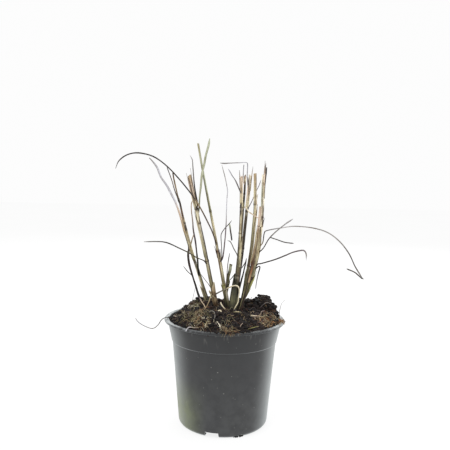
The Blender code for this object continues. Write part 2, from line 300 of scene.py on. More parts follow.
@dataclass(frozen=True)
class Blade:
    """A dry leaf blade that curls up at both edges and is creased along its midrib."""

    width: float
    curl: float
    crease: float = 0.12

    def at(self, share: float) -> Vector:
        """Gives the offset at a share of the way across the blade."""
        side = 2.0 * share - 1.0
        bend = math.radians(max(self.curl, 1.0))
        radius = self.width / (2.0 * bend)
        lift = radius * (1.0 - math.cos(bend * side))
        dip = self.crease * self.width * math.exp(-((side / 0.3) ** 2))
        return Vector((radius * math.sin(bend * side), lift - dip, 0.0)) * MM


@dataclass
class Station:
    """One cross-section on a sweep."""

    place: Matrix
    section: Section
    along: float


def smooth_route(route: Sequence[Place], per_point: int) -> list[Vector]:
    """Lays a smooth curve through the points of a route.

    Args:
        route: The points, in millimetres from the pot's axis.
        per_point: How many points of the curve lie on each stretch.

    Returns:
        The curve's points in metres.
    """
    fixed = [metres(point) for point in route]
    ends = [fixed[0] * 2 - fixed[1]] + fixed + [fixed[-1] * 2 - fixed[-2]]
    points = []
    for index in range(len(fixed) - 1):
        before, start, end, after = ends[index : index + 4]
        for step in range(per_point):
            share = step / per_point
            steady = start * 2 + (end - before) * share
            square = (before * 2 - start * 5 + end * 4 - after) * share**2
            cube = (start * 3 - before - end * 3 + after) * share**3
            points.append(0.5 * (steady + square + cube))
    points.append(fixed[-1])
    return points


def frames_along(points: Sequence[Vector], side: Vector) -> list[Matrix]:
    """Turns a frame along a curve with no twist of its own.

    Args:
        points: The curve.
        side: The direction that the first frame's X axis keeps to.

    Returns:
        A frame at each point, with Z along the curve.
    """
    frames = []
    for index, point in enumerate(points):
        before = points[max(index - 1, 0)]
        after = points[min(index + 1, len(points) - 1)]
        tangent = (after - before).normalized()
        side = (side - tangent * side.dot(tangent)).normalized()
        front = tangent.cross(side)
        turned = Matrix((side, front, tangent)).transposed()
        frames.append(Matrix.Translation(point) @ turned.to_4x4())
    return frames


def lengths_along(points: Sequence[Vector]) -> list[float]:
    """Gives the length of a curve up to each of its points, in metres."""
    lengths = [0.0]
    for start, end in zip(points, points[1:]):
        lengths.append(lengths[-1] + (end - start).length)
    return lengths


def only(items: Sequence[object], kind: type) -> list:
    """Picks the items of one kind, such as the vertices that an extrude has made."""
    return [item for item in items if isinstance(item, kind)]


class Sweep:
    """A section carried along stations with bmesh extrudes.

    Each vertex keeps three layers: its share round the section, its place on the straightened
    piece, which the grain of the finishes follows, and its tint. A tube also keeps its last cap.
    """

    def __init__(self) -> None:
        """Starts an empty shape with its layers."""
        self.shape = bmesh.new()
        self.share = self.shape.verts.layers.float.new("share")
        self.straight = self.shape.verts.layers.float_vector.new("straight")
        self.tint = self.shape.verts.layers.float_color.new("tint")
        self.cap: BMFace | None = None

    def settle(self, verts: Sequence[BMVert], station: Station) -> None:
        """Puts a ring or row of vertices on its station."""
        for vert in verts:
            offset = station.section.at(vert[self.share])
            vert.co = station.place @ offset
            vert[self.straight] = offset + Vector((0.0, 0.0, station.along))

    def tube(self, stations: Sequence[Station], sides: int) -> Sweep:
        """Sweeps a closed tube with a flat cap at each end.

        Args:
            stations: The sections, from foot to tip.
            sides: How many sides the tube has.

        Returns:
            The sweep itself.
        """
        made = bmesh.ops.create_circle(self.shape, cap_ends=True, segments=sides, radius=1.0)
        ring = made["verts"]
        for vert in ring:
            vert[self.share] = (math.atan2(vert.co.y, vert.co.x) / math.tau) % 1.0
        self.settle(ring, stations[0])
        self.cap = next(iter(self.shape.faces))
        for station in stations[1:]:
            grown = bmesh.ops.extrude_face_region(self.shape, geom=[self.cap])["geom"]
            self.cap = only(grown, BMFace)[0]
            self.settle(only(grown, BMVert), station)
        bmesh.ops.recalc_face_normals(self.shape, faces=self.shape.faces)
        return self

    def strip(self, stations: Sequence[Station], columns: int, thickness: float) -> Sweep:
        """Sweeps an open strip and gives it a thickness.

        Args:
            stations: The sections, from foot to tip.
            columns: How many faces lie across the strip.
            thickness: The strip's thickness in millimetres.

        Returns:
            The sweep itself.
        """
        row = [self.shape.verts.new((index, 0.0, 0.0)) for index in range(columns + 1)]
        for index, vert in enumerate(row):
            vert[self.share] = index / columns
        edges = [self.shape.edges.new(pair) for pair in zip(row, row[1:])]
        self.settle(row, stations[0])
        for station in stations[1:]:
            grown = bmesh.ops.extrude_edge_only(self.shape, edges=edges)["geom"]
            row = only(grown, BMVert)
            fresh = set(row)
            edges = [e for e in only(grown, BMEdge) if fresh.issuperset(e.verts)]
            self.settle(row, station)
        bmesh.ops.recalc_face_normals(self.shape, faces=self.shape.faces)
        bmesh.ops.solidify(self.shape, geom=self.shape.faces[:], thickness=thickness * MM)
        bmesh.ops.recalc_face_normals(self.shape, faces=self.shape.faces)
        return self

    def paint(self, colour_at: Callable[[float, float], Colour]) -> Sweep:
        """Tints every vertex.

        Args:
            colour_at: Gives the colour from the share round the section and the metres along.

        Returns:
            The sweep itself.
        """
        for vert in self.shape.verts:
            colour = colour_at(vert[self.share], vert[self.straight].z)
            vert[self.tint] = (*colour, 1.0)
        return self


def mesh_of(name: str, shape: BMesh) -> Mesh:
    """Stores a shape as a mesh and frees it."""
    mesh = bpy.data.meshes.new(name)
    shape.to_mesh(mesh)
    shape.free()
    return mesh


def linked(name: str, data: ID) -> Object:
    """Puts an object of this data in the scene."""
    item = bpy.data.objects.new(name, data)
    bpy.context.scene.collection.objects.link(item)
    return item


class Heap:
    """Small shapes gathered into one mesh, in batches so that each stays quick to add to."""

    batch_size = 400

    def __init__(self) -> None:
        """Starts an empty heap."""
        self.batches: list[Mesh] = []
        self.open = bmesh.new()
        self.count = 0

    def add(self, shape: BMesh) -> None:
        """Adds a shape and frees it."""
        mesh = mesh_of("part", shape)
        self.open.from_mesh(mesh)
        bpy.data.meshes.remove(mesh)
        self.count += 1
        if self.count % self.batch_size == 0:
            self.close_batch()

    def close_batch(self) -> None:
        """Stores the open batch and starts another."""
        self.batches.append(mesh_of("batch", self.open))
        self.open = bmesh.new()

    def joined(self) -> BMesh:
        """Gives all the shapes as one bmesh."""
        self.close_batch()
        whole = self.open
        for mesh in self.batches:
            whole.from_mesh(mesh)
            bpy.data.meshes.remove(mesh)
        return whole


def add_piece(
    name: str,
    shape: BMesh,
    finish: Material,
    stands_for: Sequence[str] = (),
    crease: float = 60.0,
) -> Object:
    """Makes a finished piece of a shape and rides it on the object's one body.

    Args:
        name: The piece's name.
        shape: The shape in the frame's metres, which is freed.
        finish: The piece's material.
        stands_for: The frame's nodes that the piece stands for.
        crease: The angle in degrees past which an edge is shaded sharp.

    Returns:
        The piece.
    """
    mesh = mesh_of(name, shape)
    mesh.materials.append(finish)
    mesh.shade_smooth()
    mesh.set_sharp_from_angle(angle=math.radians(crease))
    piece = linked(name, mesh)
    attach(piece, BODY)
    if stands_for:
        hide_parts(*stands_for)
    LOG.info("%s: %d faces, for %s", name, len(mesh.polygons), ", ".join(stands_for) or "no node")
    return piece


# ---- finishes


Channels = tuple[float, float, float, float]


class Graph:
    """A node tree while it is laid out, in a material or in a node group."""

    def __init__(self, tree: NodeTree) -> None:
        """Takes the tree to lay nodes in."""
        self.tree = tree

    def feed(self, node: Node, inputs: dict[str | int, object]) -> None:
        """Sets or links a node's inputs, by the name or number of each."""
        for key, value in inputs.items():
            if isinstance(value, Socket):
                self.tree.links.new(value, node.inputs[key])
            else:
                node.inputs[key].default_value = value

    def add(self, kind: str, inputs: dict | None = None, **settings: object) -> Node:
        """Adds a node.

        Args:
            kind: The node's type.
            inputs: Values or linked sockets, by the name or number of the input.
            **settings: The node's own properties.

        Returns:
            The node.
        """
        node = self.tree.nodes.new(kind)
        for key, value in settings.items():
            setattr(node, key, value)
        self.feed(node, inputs or {})
        return node

    def math(self, operation: str, first: object, second: object = 0.0) -> Socket:
        """Adds a Math node and gives its result."""
        return self.add("ShaderNodeMath", {0: first, 1: second}, operation=operation).outputs[0]

    def product(self, first: object, *others: object) -> Socket:
        """Multiplies numbers, one after the other."""
        for other in others:
            first = self.math("MULTIPLY", first, other)
        return first

    def shifted(self, value: Socket, factor: float, offset: float) -> Socket:
        """Multiplies a number and then adds to it."""
        return self.math("ADD", self.product(value, factor), offset)

    def mix(self, share: object, first: object, second: object, blend: str = "MIX") -> Socket:
        """Mixes two colours and gives the result."""
        inputs = {0: share, 6: first, 7: second}
        return self.add("ShaderNodeMix", inputs, data_type="RGBA", blend_type=blend).outputs[2]

    def times(self, first: object, second: object) -> Socket:
        """Multiplies two colours and gives the result."""
        return self.mix(1.0, first, second, "MULTIPLY")

    def ramp(self, value: object, *range_and_ends: object) -> Socket:
        """Maps a value from one range to another, with soft ends.

        Args:
            value: The value to map.
            *range_and_ends: The range's low and high, and the results there, or 0 and 1.

        Returns:
            The mapped value.
        """
        names = ("From Min", "From Max", "To Min", "To Max")
        inputs = {"Value": value, **dict(zip(names, range_and_ends))}
        return self.add("ShaderNodeMapRange", inputs, interpolation_type="SMOOTHSTEP").outputs[0]

    def noise(
        self, vector: Socket, scale: object, detail: float = 2.0, roughness: float = 0.5
    ) -> Socket:
        """Adds a noise that follows a vector and gives its value."""
        inputs = {"Vector": vector, "Scale": scale, "Detail": detail, "Roughness": roughness}
        return self.add("ShaderNodeTexNoise", inputs).outputs[0]

    def mapped(
        self, vector: Socket, location: Place = (0.0, 0.0, 0.0), scale: Place = (1.0, 1.0, 1.0)
    ) -> Socket:
        """Moves and stretches a vector."""
        inputs = {"Vector": vector, "Location": location, "Scale": scale}
        return self.add("ShaderNodeMapping", inputs).outputs[0]

    def group(self, tree: NodeTree, inputs: dict) -> NodeOutputs:
        """Places a node group and gives its outputs."""
        return self.add("ShaderNodeGroup", inputs, node_tree=tree).outputs

    def patches(
        self, vector: Socket, scale: float, amount: float, softness: float = 0.12
    ) -> Socket:
        """Gives a mask of soft patches that cover about this share of the surface."""
        inputs = {"Vector": vector, "Scale": scale, "Amount": amount, "Softness": softness}
        return self.group(PATCHES, inputs)[0]

    def specks(self, vector: Socket, scale: float, share: float, size: float = 0.3) -> Socket:
        """Gives a mask of specks in this share of the cells of a scattered grid."""
        inputs = {"Vector": vector, "Scale": scale, "Size": size, "Share": share}
        return self.group(SPECKS, inputs)[0]


def rgba(colour: Colour) -> Channels:
    """Gives a colour with full alpha, as a socket takes it."""
    return (*colour, 1.0)


def grey(level: float) -> Channels:
    """Gives a grey of this level, as a socket takes it."""
    return (level, level, level, 1.0)


def new_group(name: str, numbers: dict[str, float], masks: Sequence[str]) -> tuple:
    """Starts a node group that reads a vector and some numbers and gives masks.

    Args:
        name: The group's name.
        numbers: The name and the default of each number.
        masks: The name of each mask.

    Returns:
        The graph, what the group is given, by name, and its output node.
    """
    tree = bpy.data.node_groups.new(name, "ShaderNodeTree")
    face = tree.interface
    face.new_socket("Vector", in_out="INPUT", socket_type="NodeSocketVector")
    for label, default in numbers.items():
        socket = face.new_socket(label, in_out="INPUT", socket_type="NodeSocketFloat")
        socket.default_value = default
    for label in masks:
        face.new_socket(label, in_out="OUTPUT", socket_type="NodeSocketFloat")
    graph = Graph(tree)
    return graph, graph.add("NodeGroupInput").outputs, graph.add("NodeGroupOutput")


def grain_group() -> NodeTree:
    """Builds the fibres that run along dry grass, as a fine mask and a broad one."""
    numbers = {"Fineness": 2600.0, "Stretch": 0.03}
    graph, given, result = new_group("grass_grain", numbers, ("Fibres", "Bands"))
    squeeze = graph.add("ShaderNodeCombineXYZ", {0: 1.0, 1: 1.0, 2: given["Stretch"]}).outputs[0]
    inputs = {0: given["Vector"], 1: squeeze}
    drawn = graph.add("ShaderNodeVectorMath", inputs, operation="MULTIPLY").outputs[0]
    fine = graph.noise(drawn, given["Fineness"], 3.0)
    broad = graph.noise(drawn, graph.product(given["Fineness"], 0.22), 2.0)
    fibres, bands = graph.ramp(fine, 0.3, 0.7), graph.ramp(broad, 0.36, 0.56)
    graph.feed(result, {"Fibres": fibres, "Bands": bands})
    return graph.tree


def patches_group() -> NodeTree:
    """Builds soft patches, such as stains, dust and damp, as a mask."""
    numbers = {"Scale": 60.0, "Amount": 0.5, "Softness": 0.12}
    graph, given, result = new_group("patches", numbers, ("Mask",))
    cloud = graph.noise(given["Vector"], given["Scale"], 5.0, 0.6)
    edge = graph.math("SUBTRACT", 1.0, given["Amount"])
    low = graph.math("SUBTRACT", edge, given["Softness"])
    high = graph.math("ADD", edge, given["Softness"])
    graph.feed(result, {"Mask": graph.ramp(cloud, low, high)})
    return graph.tree


def specks_group() -> NodeTree:
    """Builds scattered specks, such as grit and spores, as a mask."""
    numbers = {"Scale": 300.0, "Size": 0.3, "Share": 0.2}
    graph, given, result = new_group("specks", numbers, ("Mask",))
    inputs = {"Vector": given["Vector"], "Scale": given["Scale"]}
    cells = graph.add("ShaderNodeTexVoronoi", inputs).outputs
    near = graph.math("LESS_THAN", cells["Distance"], given["Size"])
    picked = graph.add("ShaderNodeSeparateColor", {0: cells["Color"]}).outputs[0]
    chosen = graph.math("LESS_THAN", picked, given["Share"])
    graph.feed(result, {"Mask": graph.product(near, chosen)})
    return graph.tree


GRAIN = grain_group()
PATCHES = patches_group()
SPECKS = specks_group()


class Paint(Graph):
    """The node tree of a material, with its Principled BSDF."""

    def __init__(self, name: str) -> None:
        """Starts the material."""
        self.material = bpy.data.materials.new(name)
        self.material.use_nodes = True
        super().__init__(self.material.node_tree)
        self.shader = self.tree.nodes["Principled BSDF"]
        self.place = self.add("ShaderNodeTexCoord").outputs["Object"]

    def attribute(self, name: str, output: str) -> Socket:
        """Reads an attribute of the mesh."""
        return self.add("ShaderNodeAttribute", attribute_name=name).outputs[output]

    def finished(
        self,
        colour: Socket,
        rough: Socket,
        height: Socket,
        strength: float,
        depth: float,
        specular: float,
    ) -> Material:
        """Joins what was laid out to the shader.

        Args:
            colour: The base colour.
            rough: The roughness.
            height: The height of the relief.
            strength: How strongly the relief shows.
            depth: The depth of the relief in millimetres.
            specular: The strength of the shine.

        Returns:
            The material.
        """
        relief = {"Height": height, "Strength": strength, "Distance": depth * MM}
        normal = self.add("ShaderNodeBump", relief).outputs[0]
        self.shader.inputs["Specular IOR Level"].default_value = specular
        self.feed(self.shader, {"Base Color": colour, "Roughness": rough, "Normal": normal})
        return self.material


@dataclass(frozen=True)
class GrassFinish:
    """Dry grass, with its own tint, fibres along it, stains and black spores."""

    name: str
    roughness: float
    fineness: float
    contrast: float
    stain: float
    relief: float
    banding: float = 0.3
    band: Colour = (0.95, 0.9, 0.8)
    soil: Colour = (0.62, 0.56, 0.50)

    def material(self) -> Material:
        """Builds the material."""
        paint = Paint(self.name)
        straight = paint.attribute("straight", "Vector")
        fibres, bands = paint.group(GRAIN, {"Vector": straight, "Fineness": self.fineness})
        shade = paint.mix(fibres, grey(1.0 - self.contrast), grey(1.0 + 0.4 * self.contrast))
        colour = paint.times(paint.attribute("tint", "Color"), shade)
        warm = paint.mix(bands, rgba(scaled(self.band, 1.0 - self.banding)), grey(1.06))
        colour = paint.times(colour, warm)
        stains = paint.patches(paint.place, scale=95.0, amount=self.stain)
        colour = paint.mix(stains, colour, paint.times(colour, rgba(self.soil)))
        spores = paint.specks(paint.place, scale=900.0, share=0.07)
        colour = paint.mix(spores, colour, paint.times(colour, grey(0.35)))
        rough = paint.ramp(fibres, 0.0, 1.0, self.roughness + 0.12, self.roughness - 0.08)
        return paint.finished(colour, rough, fibres, 0.6, depth=self.relief, specular=0.35)


@dataclass(frozen=True)
class CrumbFinish:
    """Peat, bark and soil, with its own tint and a crumbly face."""

    name: str
    roughness: float
    scale: float
    relief: float
    damp: Colour = (0.62, 0.6, 0.64)
    grit: Colour = Tone.PEAT_PALE.value

    def material(self) -> Material:
        """Builds the material."""
        paint = Paint(self.name)
        crumb = paint.noise(paint.place, self.scale, detail=6.0, roughness=0.7)
        shade = paint.mix(paint.ramp(crumb, 0.3, 0.72), grey(0.45), grey(1.5))
        colour = paint.times(paint.attribute("tint", "Color"), shade)
        damp = paint.patches(paint.place, scale=45.0, amount=0.5)
        colour = paint.mix(damp, colour, paint.times(colour, rgba(self.damp)))
        grit = paint.specks(paint.place, scale=700.0, share=0.06)
        colour = paint.mix(grit, colour, rgba(self.grit))
        rough = paint.ramp(damp, 0.0, 1.0, self.roughness, self.roughness - 0.25)
        return paint.finished(colour, rough, crumb, 0.9, depth=self.relief, specular=0.25)


@dataclass(frozen=True)
class PotPlace:
    """Where a point of the pot lies from the foot of its axis, whole and as three numbers."""

    vector: Socket
    across: Socket
    deep: Socket
    up: Socket


@dataclass(frozen=True)
class PotFinish:
    """Thin recycled nursery plastic: satin, scuffed on its lip, dusty and touched by algae, with painted
    shade on its collar, a painted sheen at grazing angles and painted highlights at the ends of its lip
    and ledge.
    """

    name: str
    height: float
    ledge: float
    dark_plastic: Colour = linear(38, 39, 41)
    pale_plastic: Colour = linear(43, 44, 45)
    # Painted sheen colour: the pale grey mixed in where the surface turns from view.
    grazing_sheen: Colour = linear(172, 178, 178)
    film: Colour = linear(96, 98, 98)
    fleck: Colour = linear(150, 148, 142)
    green: Colour = linear(112, 120, 84)
    # Lip and ledge colours: pale scuffs together with painted highlights.
    lip_highlight_scuff: Colour = linear(150, 154, 156)
    ledge_highlight_scuff: Colour = linear(170, 174, 176)
    drip: Colour = linear(140, 138, 132)

    def material(self) -> Material:
        """Builds the material."""
        paint = Paint(self.name)
        centred = paint.mapped(paint.place, location=(-AXIS.x, -AXIS.y, 0.0))
        at = PotPlace(centred, *paint.add("ShaderNodeSeparateXYZ", {0: centred}).outputs)
        cloud = paint.patches(centred, scale=22.0, amount=0.5, softness=0.25)
        colour = paint.mix(cloud, rgba(self.dark_plastic), rgba(self.pale_plastic))
        colour = self.dust(paint, at, colour)
        # Painted shade: the collar above the ledge, under the lip, is darkened by up to a fifth towards
        # black.
        collar = paint.ramp(at.up, self.ledge * MM, (self.ledge + 2.0) * MM, 0.0, 0.2)
        colour = self.wear_and_highlights(paint, at, paint.mix(collar, colour, grey(0.0)))
        # The middle of the lip, where the painted sheen is held back and the plastic is rougher.
        inward = paint.ramp(paint.math("ABSOLUTE", at.across), 0.045, 0.08, 1.0, 0.0)
        lip = paint.ramp(at.up, (self.height - 4.0) * MM, (self.height - 1.2) * MM)
        lip = paint.product(lip, inward)
        # Painted sheen: where the surface turns from view it is mixed towards pale grey, a painted
        # reflection of the white room.
        graze = paint.add("ShaderNodeLayerWeight", {"Blend": 0.5}).outputs["Facing"]
        grazing_sheen = paint.ramp(graze, 0.3, 1.0, 0.0, 0.72)
        grazing_sheen = paint.product(grazing_sheen, paint.ramp(lip, 0.0, 1.0, 1.0, 0.1))
        colour = self.algae(paint, at, paint.mix(grazing_sheen, colour, rgba(self.grazing_sheen)))
        ripple = paint.noise(centred, 1500.0, detail=3.0)
        rings = paint.noise(paint.mapped(centred, scale=(6.0, 6.0, 420.0)), 1.0)
        relief = paint.math("ADD", paint.product(ripple, 0.5), rings)
        satin = paint.ramp(cloud, 0.0, 1.0, 0.36, 0.52)
        rough = paint.math("ADD", satin, paint.product(lip, 0.35))
        return paint.finished(colour, rough, relief, 0.35, depth=0.12, specular=0.42)

    def dust(self, paint: Paint, at: PotPlace, colour: Socket) -> Socket:
        """Adds the pale film that splashing leaves towards the foot, and dried specks."""
        low = paint.ramp(at.up, 0.0, self.ledge * MM, 0.2, 0.04)
        film = paint.patches(at.vector, scale=75.0, amount=0.52, softness=0.2)
        share = paint.product(paint.math("ADD", film, 0.35), low)
        colour = paint.mix(share, colour, rgba(self.film))
        for scale, size, count in ((120.0, 0.09, 0.08), (380.0, 0.17, 0.05)):
            dots = paint.specks(at.vector, scale, count, size)
            colour = paint.mix(paint.product(dots, 0.45), colour, rgba(self.fleck))
        return colour

    def algae(self, paint: Paint, at: PotPlace, colour: Socket) -> Socket:
        """Adds the green film on the shaded left side, low down."""
        left = paint.ramp(at.across, -0.064, -0.02, 0.85, 0.0)
        front = paint.ramp(at.deep, -0.01, 0.045, 1.0, 0.0)
        low = paint.ramp(at.up, 0.02, 0.082, 1.0, 0.0)
        patch = paint.patches(at.vector, scale=48.0, amount=0.55, softness=0.2)
        share = paint.product(left, low, front, paint.shifted(patch, 0.5, 0.5))
        return paint.mix(share, colour, rgba(self.green))

    def wear_and_highlights(self, paint: Paint, at: PotPlace, colour: Socket) -> Socket:
        """Adds pale scuffs and painted highlights to the lip and ledge, and the drips below the lip."""
        # Painted highlights: the lip and ledge lines grow brightest towards the left and right ends, where
        # they turn from view.
        outward = paint.ramp(paint.math("ABSOLUTE", at.across), 0.02, 0.072, 0.1, 1.0)
        scuff = paint.patches(at.vector, scale=130.0, amount=0.46, softness=0.1)
        lip = paint.ramp(at.up, (self.height - 3.2) * MM, (self.height - 0.4) * MM)
        share = paint.product(lip, paint.shifted(scuff, 0.5, 0.08), outward)
        colour = paint.mix(share, colour, rgba(self.lip_highlight_scuff))
        # Painted highlight along the ledge's rounded edge, broken a little by scuffs.
        off_ledge = paint.math("ABSOLUTE", paint.math("SUBTRACT", at.up, self.ledge * MM))
        ledge = paint.ramp(off_ledge, 0.0, 1.1 * MM, 1.0, 0.0)
        share = paint.product(ledge, paint.shifted(scuff, 0.3, 0.6), outward)
        colour = paint.mix(share, colour, rgba(self.ledge_highlight_scuff))
        runs = paint.noise(paint.mapped(at.vector, scale=(260.0, 260.0, 26.0)), 1.0)
        under = paint.ramp(at.up, (self.height - 26.0) * MM, (self.height - 3.0) * MM)
        streak = paint.product(paint.ramp(runs, 0.6, 0.74, 0.0, 0.22), under)
        return paint.mix(streak, colour, rgba(self.drip))


@dataclass(frozen=True)
class FloorFinish:
    """A plain white floor, lit from below like a light table."""

    name: str
    glow: float = 0.82

    def material(self) -> Material:
        """Builds the material."""
        paint = Paint(self.name)
        colour = paint.mix(paint.noise(paint.place, 1.5), grey(0.14), grey(0.16))
        paint.feed(paint.shader, {"Base Color": colour, "Roughness": 0.9})
        paint.feed(paint.shader, {"Specular IOR Level": 0.0, "Emission Color": grey(1.0)})
        paint.shader.inputs["Emission Strength"].default_value = self.glow
        return paint.material


# ---- the pot


def spin_profile(shape: BMesh, profile: Sequence[tuple[float, float]], turns: int) -> None:
    """Spins a profile round the Z axis.

    Args:
        shape: The empty shape that takes it.
        profile: The radius and the height of each point, in millimetres.
        turns: How many steps make the whole turn.
    """
    row = [shape.verts.new((radius * MM, 0.0, up * MM)) for radius, up in profile]
    edges = [shape.edges.new(pair) for pair in zip(row, row[1:])]
    turn = {"cent": (0.0, 0.0, 0.0), "axis": (0.0, 0.0, 1.0), "angle": math.tau, "steps": turns}
    bmesh.ops.spin(shape, geom=row + edges, use_merge=True, **turn)
    bmesh.ops.remove_doubles(shape, verts=shape.verts, dist=WELD)
    bmesh.ops.recalc_face_normals(shape, faces=shape.faces)


@dataclass(frozen=True)
class NurseryPot:
    """The thin moulded pot. Its rim and height come from the frame, and the rest is below."""

    rim_radius: float
    height: float
    base_radius: float = 63.6
    wall: float = 1.3
    lip_width: float = 6.4
    lip_thickness: float = 3.0
    collar_height: float = 30.0
    collar_foot: float = 74.6
    collar_step: float = 1.2
    foot_rounding: float = 6.0
    foot_width: float = 4.4
    floor_lift: float = 8.2
    slot_width: float = 20.5
    slot_height: float = 7.4
    slot_taper: float = 0.9
    slot_turn: float = 256.5
    slots: int = 3
    hole_radius: float = 4.5
    hole_ring: float = 36.0
    holes: int = 6
    turns: int = 176
    wobble: float = 0.35
    steady_height: float = 40.0

    @classmethod
    def from_frame(cls) -> NurseryPot:
        """Plans the pot on the frame's own rim and height."""
        low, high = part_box("nursery_pot")
        return cls(rim_radius=(high.x - low.x) / 2.0 / MM, height=high.z / MM)

    @property
    def ledge(self) -> float:
        """The height of the collar's lower edge."""
        return self.height - self.collar_height

    def body_radius(self, up: float) -> float:
        """Gives the wall's outer radius at a height below the collar."""
        top = self.collar_foot - self.collar_step
        share = (up - self.foot_rounding) / (self.ledge - self.foot_rounding)
        return self.base_radius + (top - self.base_radius) * share

    @staticmethod
    def arc(middle: tuple[float, float], radius: float, start: float, end: float) -> list:
        """Gives points on an arc of the profile, from one angle in degrees to another."""
        steps = max(3, round(abs(end - start) / 15.0))
        angles = [math.radians(start + (end - start) * i / steps) for i in range(steps + 1)]
        out, up = middle
        return [(out + radius * math.cos(a), up + radius * math.sin(a)) for a in angles]

    def profile(self) -> list[tuple[float, float]]:
        """Gives the wall's outline as (radius, height), from the floor over the rim and under."""
        floor = self.floor_lift + self.wall
        rim, top = self.rim_radius, self.height
        collar_top = rim - self.lip_width + self.wall
        under = top - self.lip_thickness
        foot = (self.base_radius - self.foot_rounding, self.foot_rounding)
        inner_foot = foot[0] - self.foot_width
        outline = [
            (0.0, floor),
            (self.body_radius(floor) - self.wall - 1.5, floor),
            (self.body_radius(floor + 1.5) - self.wall, floor + 1.5),
            (self.body_radius(self.ledge) - self.wall, self.ledge - 1.0),
            (self.collar_foot - self.wall, self.ledge + 1.0),
            (rim - self.lip_width - 0.4, under - 1.0),
        ]
        outline += self.arc((rim - self.lip_width + 1.2, top - 1.4), 1.4, 180, 90)
        outline += self.arc((rim - 1.3, top - 1.3), 1.3, 90, 0)
        outline += self.arc((rim - 1.0, under + 0.9), 1.0, 0, -90)
        outline += self.arc((collar_top + 1.4, under - 1.5), 1.4, 90, 180)
        outline += self.arc((self.collar_foot - 0.7, self.ledge + 0.7), 0.7, 0, -90)
        outline += self.arc((self.body_radius(self.ledge) + 0.5, self.ledge - 0.5), 0.5, 90, 180)
        for share in (0.75, 0.5, 0.25):
            up = self.foot_rounding + (self.ledge - self.foot_rounding) * share
            outline.append((self.body_radius(up), up))
        outline += self.arc(foot, self.foot_rounding, 0, -90)
        outline += [(inner_foot, 0.0), (inner_foot, self.wall)]
        outline += self.arc(foot, self.foot_rounding - self.wall, -90, 0)
        outline.append((self.body_radius(self.floor_lift) - self.wall, self.floor_lift))
        return outline + [(0.0, self.floor_lift)]

    def shell(self) -> BMesh:
        """Spins the outline into the pot's shell, a little out of round as thin pots are."""
        shape = bmesh.new()
        spin_profile(shape, self.profile(), self.turns)
        for vert in shape.verts:
            angle = math.atan2(vert.co.y, vert.co.x)
            share = between(vert.co.z / MM, self.steady_height, self.height)
            swell = math.cos(2.0 * angle + 0.6) + 0.5 * math.cos(5.0 * angle + 2.0)
            push = self.wobble * MM * share * swell
            vert.co += Vector((math.cos(angle), math.sin(angle), 0.0)) * push
        return shape

    def slot_cutter(self, index: int) -> Object:
        """Makes the block that cuts one drainage slot through the foot."""
        inner = self.base_radius - self.foot_rounding - self.foot_width - 4.0
        outer = self.base_radius + 6.0
        shape = bmesh.new()
        bmesh.ops.create_cube(shape, size=1.0)
        for vert in shape.verts:
            taper = self.slot_taper if vert.co.z > 0 else 1.0
            along = inner if vert.co.x < 0 else outer
            up = self.slot_height if vert.co.z > 0 else -2.0
            vert.co = Vector((along, vert.co.y * self.slot_width * taper, up)) * MM
        turn = math.radians(self.slot_turn + index * 360.0 / self.slots)
        bmesh.ops.rotate(shape, verts=shape.verts, matrix=Matrix.Rotation(turn, 3, "Z"))
        return self.cutter(f"slot_cutter_{index}", shape)

    def hole_cutter(self, index: int) -> Object:
        """Makes the cylinder that cuts one round drain hole through the floor."""
        shape = bmesh.new()
        radius = self.hole_radius * MM
        depth = 2.0 * self.floor_lift * MM
        bmesh.ops.create_cone(
            shape, cap_ends=True, segments=32, radius1=radius, radius2=radius, depth=depth
        )
        turn = math.radians(index * 360.0 / self.holes)
        ring = self.hole_ring if index else 0.0
        place = Vector((ring * math.cos(turn), ring * math.sin(turn), self.floor_lift)) * MM
        bmesh.ops.translate(shape, verts=shape.verts, vec=place)
        return self.cutter(f"hole_cutter_{index}", shape)

    @staticmethod
    def cutter(name: str, shape: BMesh) -> Object:
        """Makes a helper object of a shape, moved to where the pot stands."""
        bmesh.ops.translate(shape, verts=shape.verts, vec=AXIS)
        return linked(name, mesh_of(name, shape))

    def build(self) -> None:
        """Builds the pot, cuts its drainage and dresses it."""
        body = self.cutter("pot_blank", self.shell())
        cutters = [self.slot_cutter(index) for index in range(self.slots)]
        cutters += [self.hole_cutter(index) for index in range(self.holes + 1)]
        for cutter in cutters:
            modifier = body.modifiers.new(cutter.name, "BOOLEAN")
            modifier.operation = "DIFFERENCE"
            modifier.object = cutter
        bpy.context.view_layer.update()
        graph = bpy.context.evaluated_depsgraph_get()
        shape = bmesh.new()
        shape.from_mesh(body.evaluated_get(graph).to_mesh())
        for helper in [body, *cutters]:
            bpy.data.objects.remove(helper, do_unlink=True)
        finish = PotFinish("nursery_plastic", self.height, self.ledge).material()
        add_piece("moulded_pot", shape, finish, ("nursery_pot",), crease=38.0)


# ---- the potting mix


@dataclass(frozen=True)
class Tuft:
    """A patch of fibre on the mix: its middle, its reach, its fibres and their tones."""

    middle: tuple[float, float]
    reach: float
    count: int
    lift: float
    tones: tuple[Tone, ...]
    thickest: float = 0.7
    spills: bool = False


@dataclass(frozen=True)
class RootPlan:
    """A fine root: its route, its thickness at both ends and its tones."""

    route: tuple[Place, ...]
    thick: float
    thin: float
    stops: Stops = fade("0 ROOT 1 ROOT")


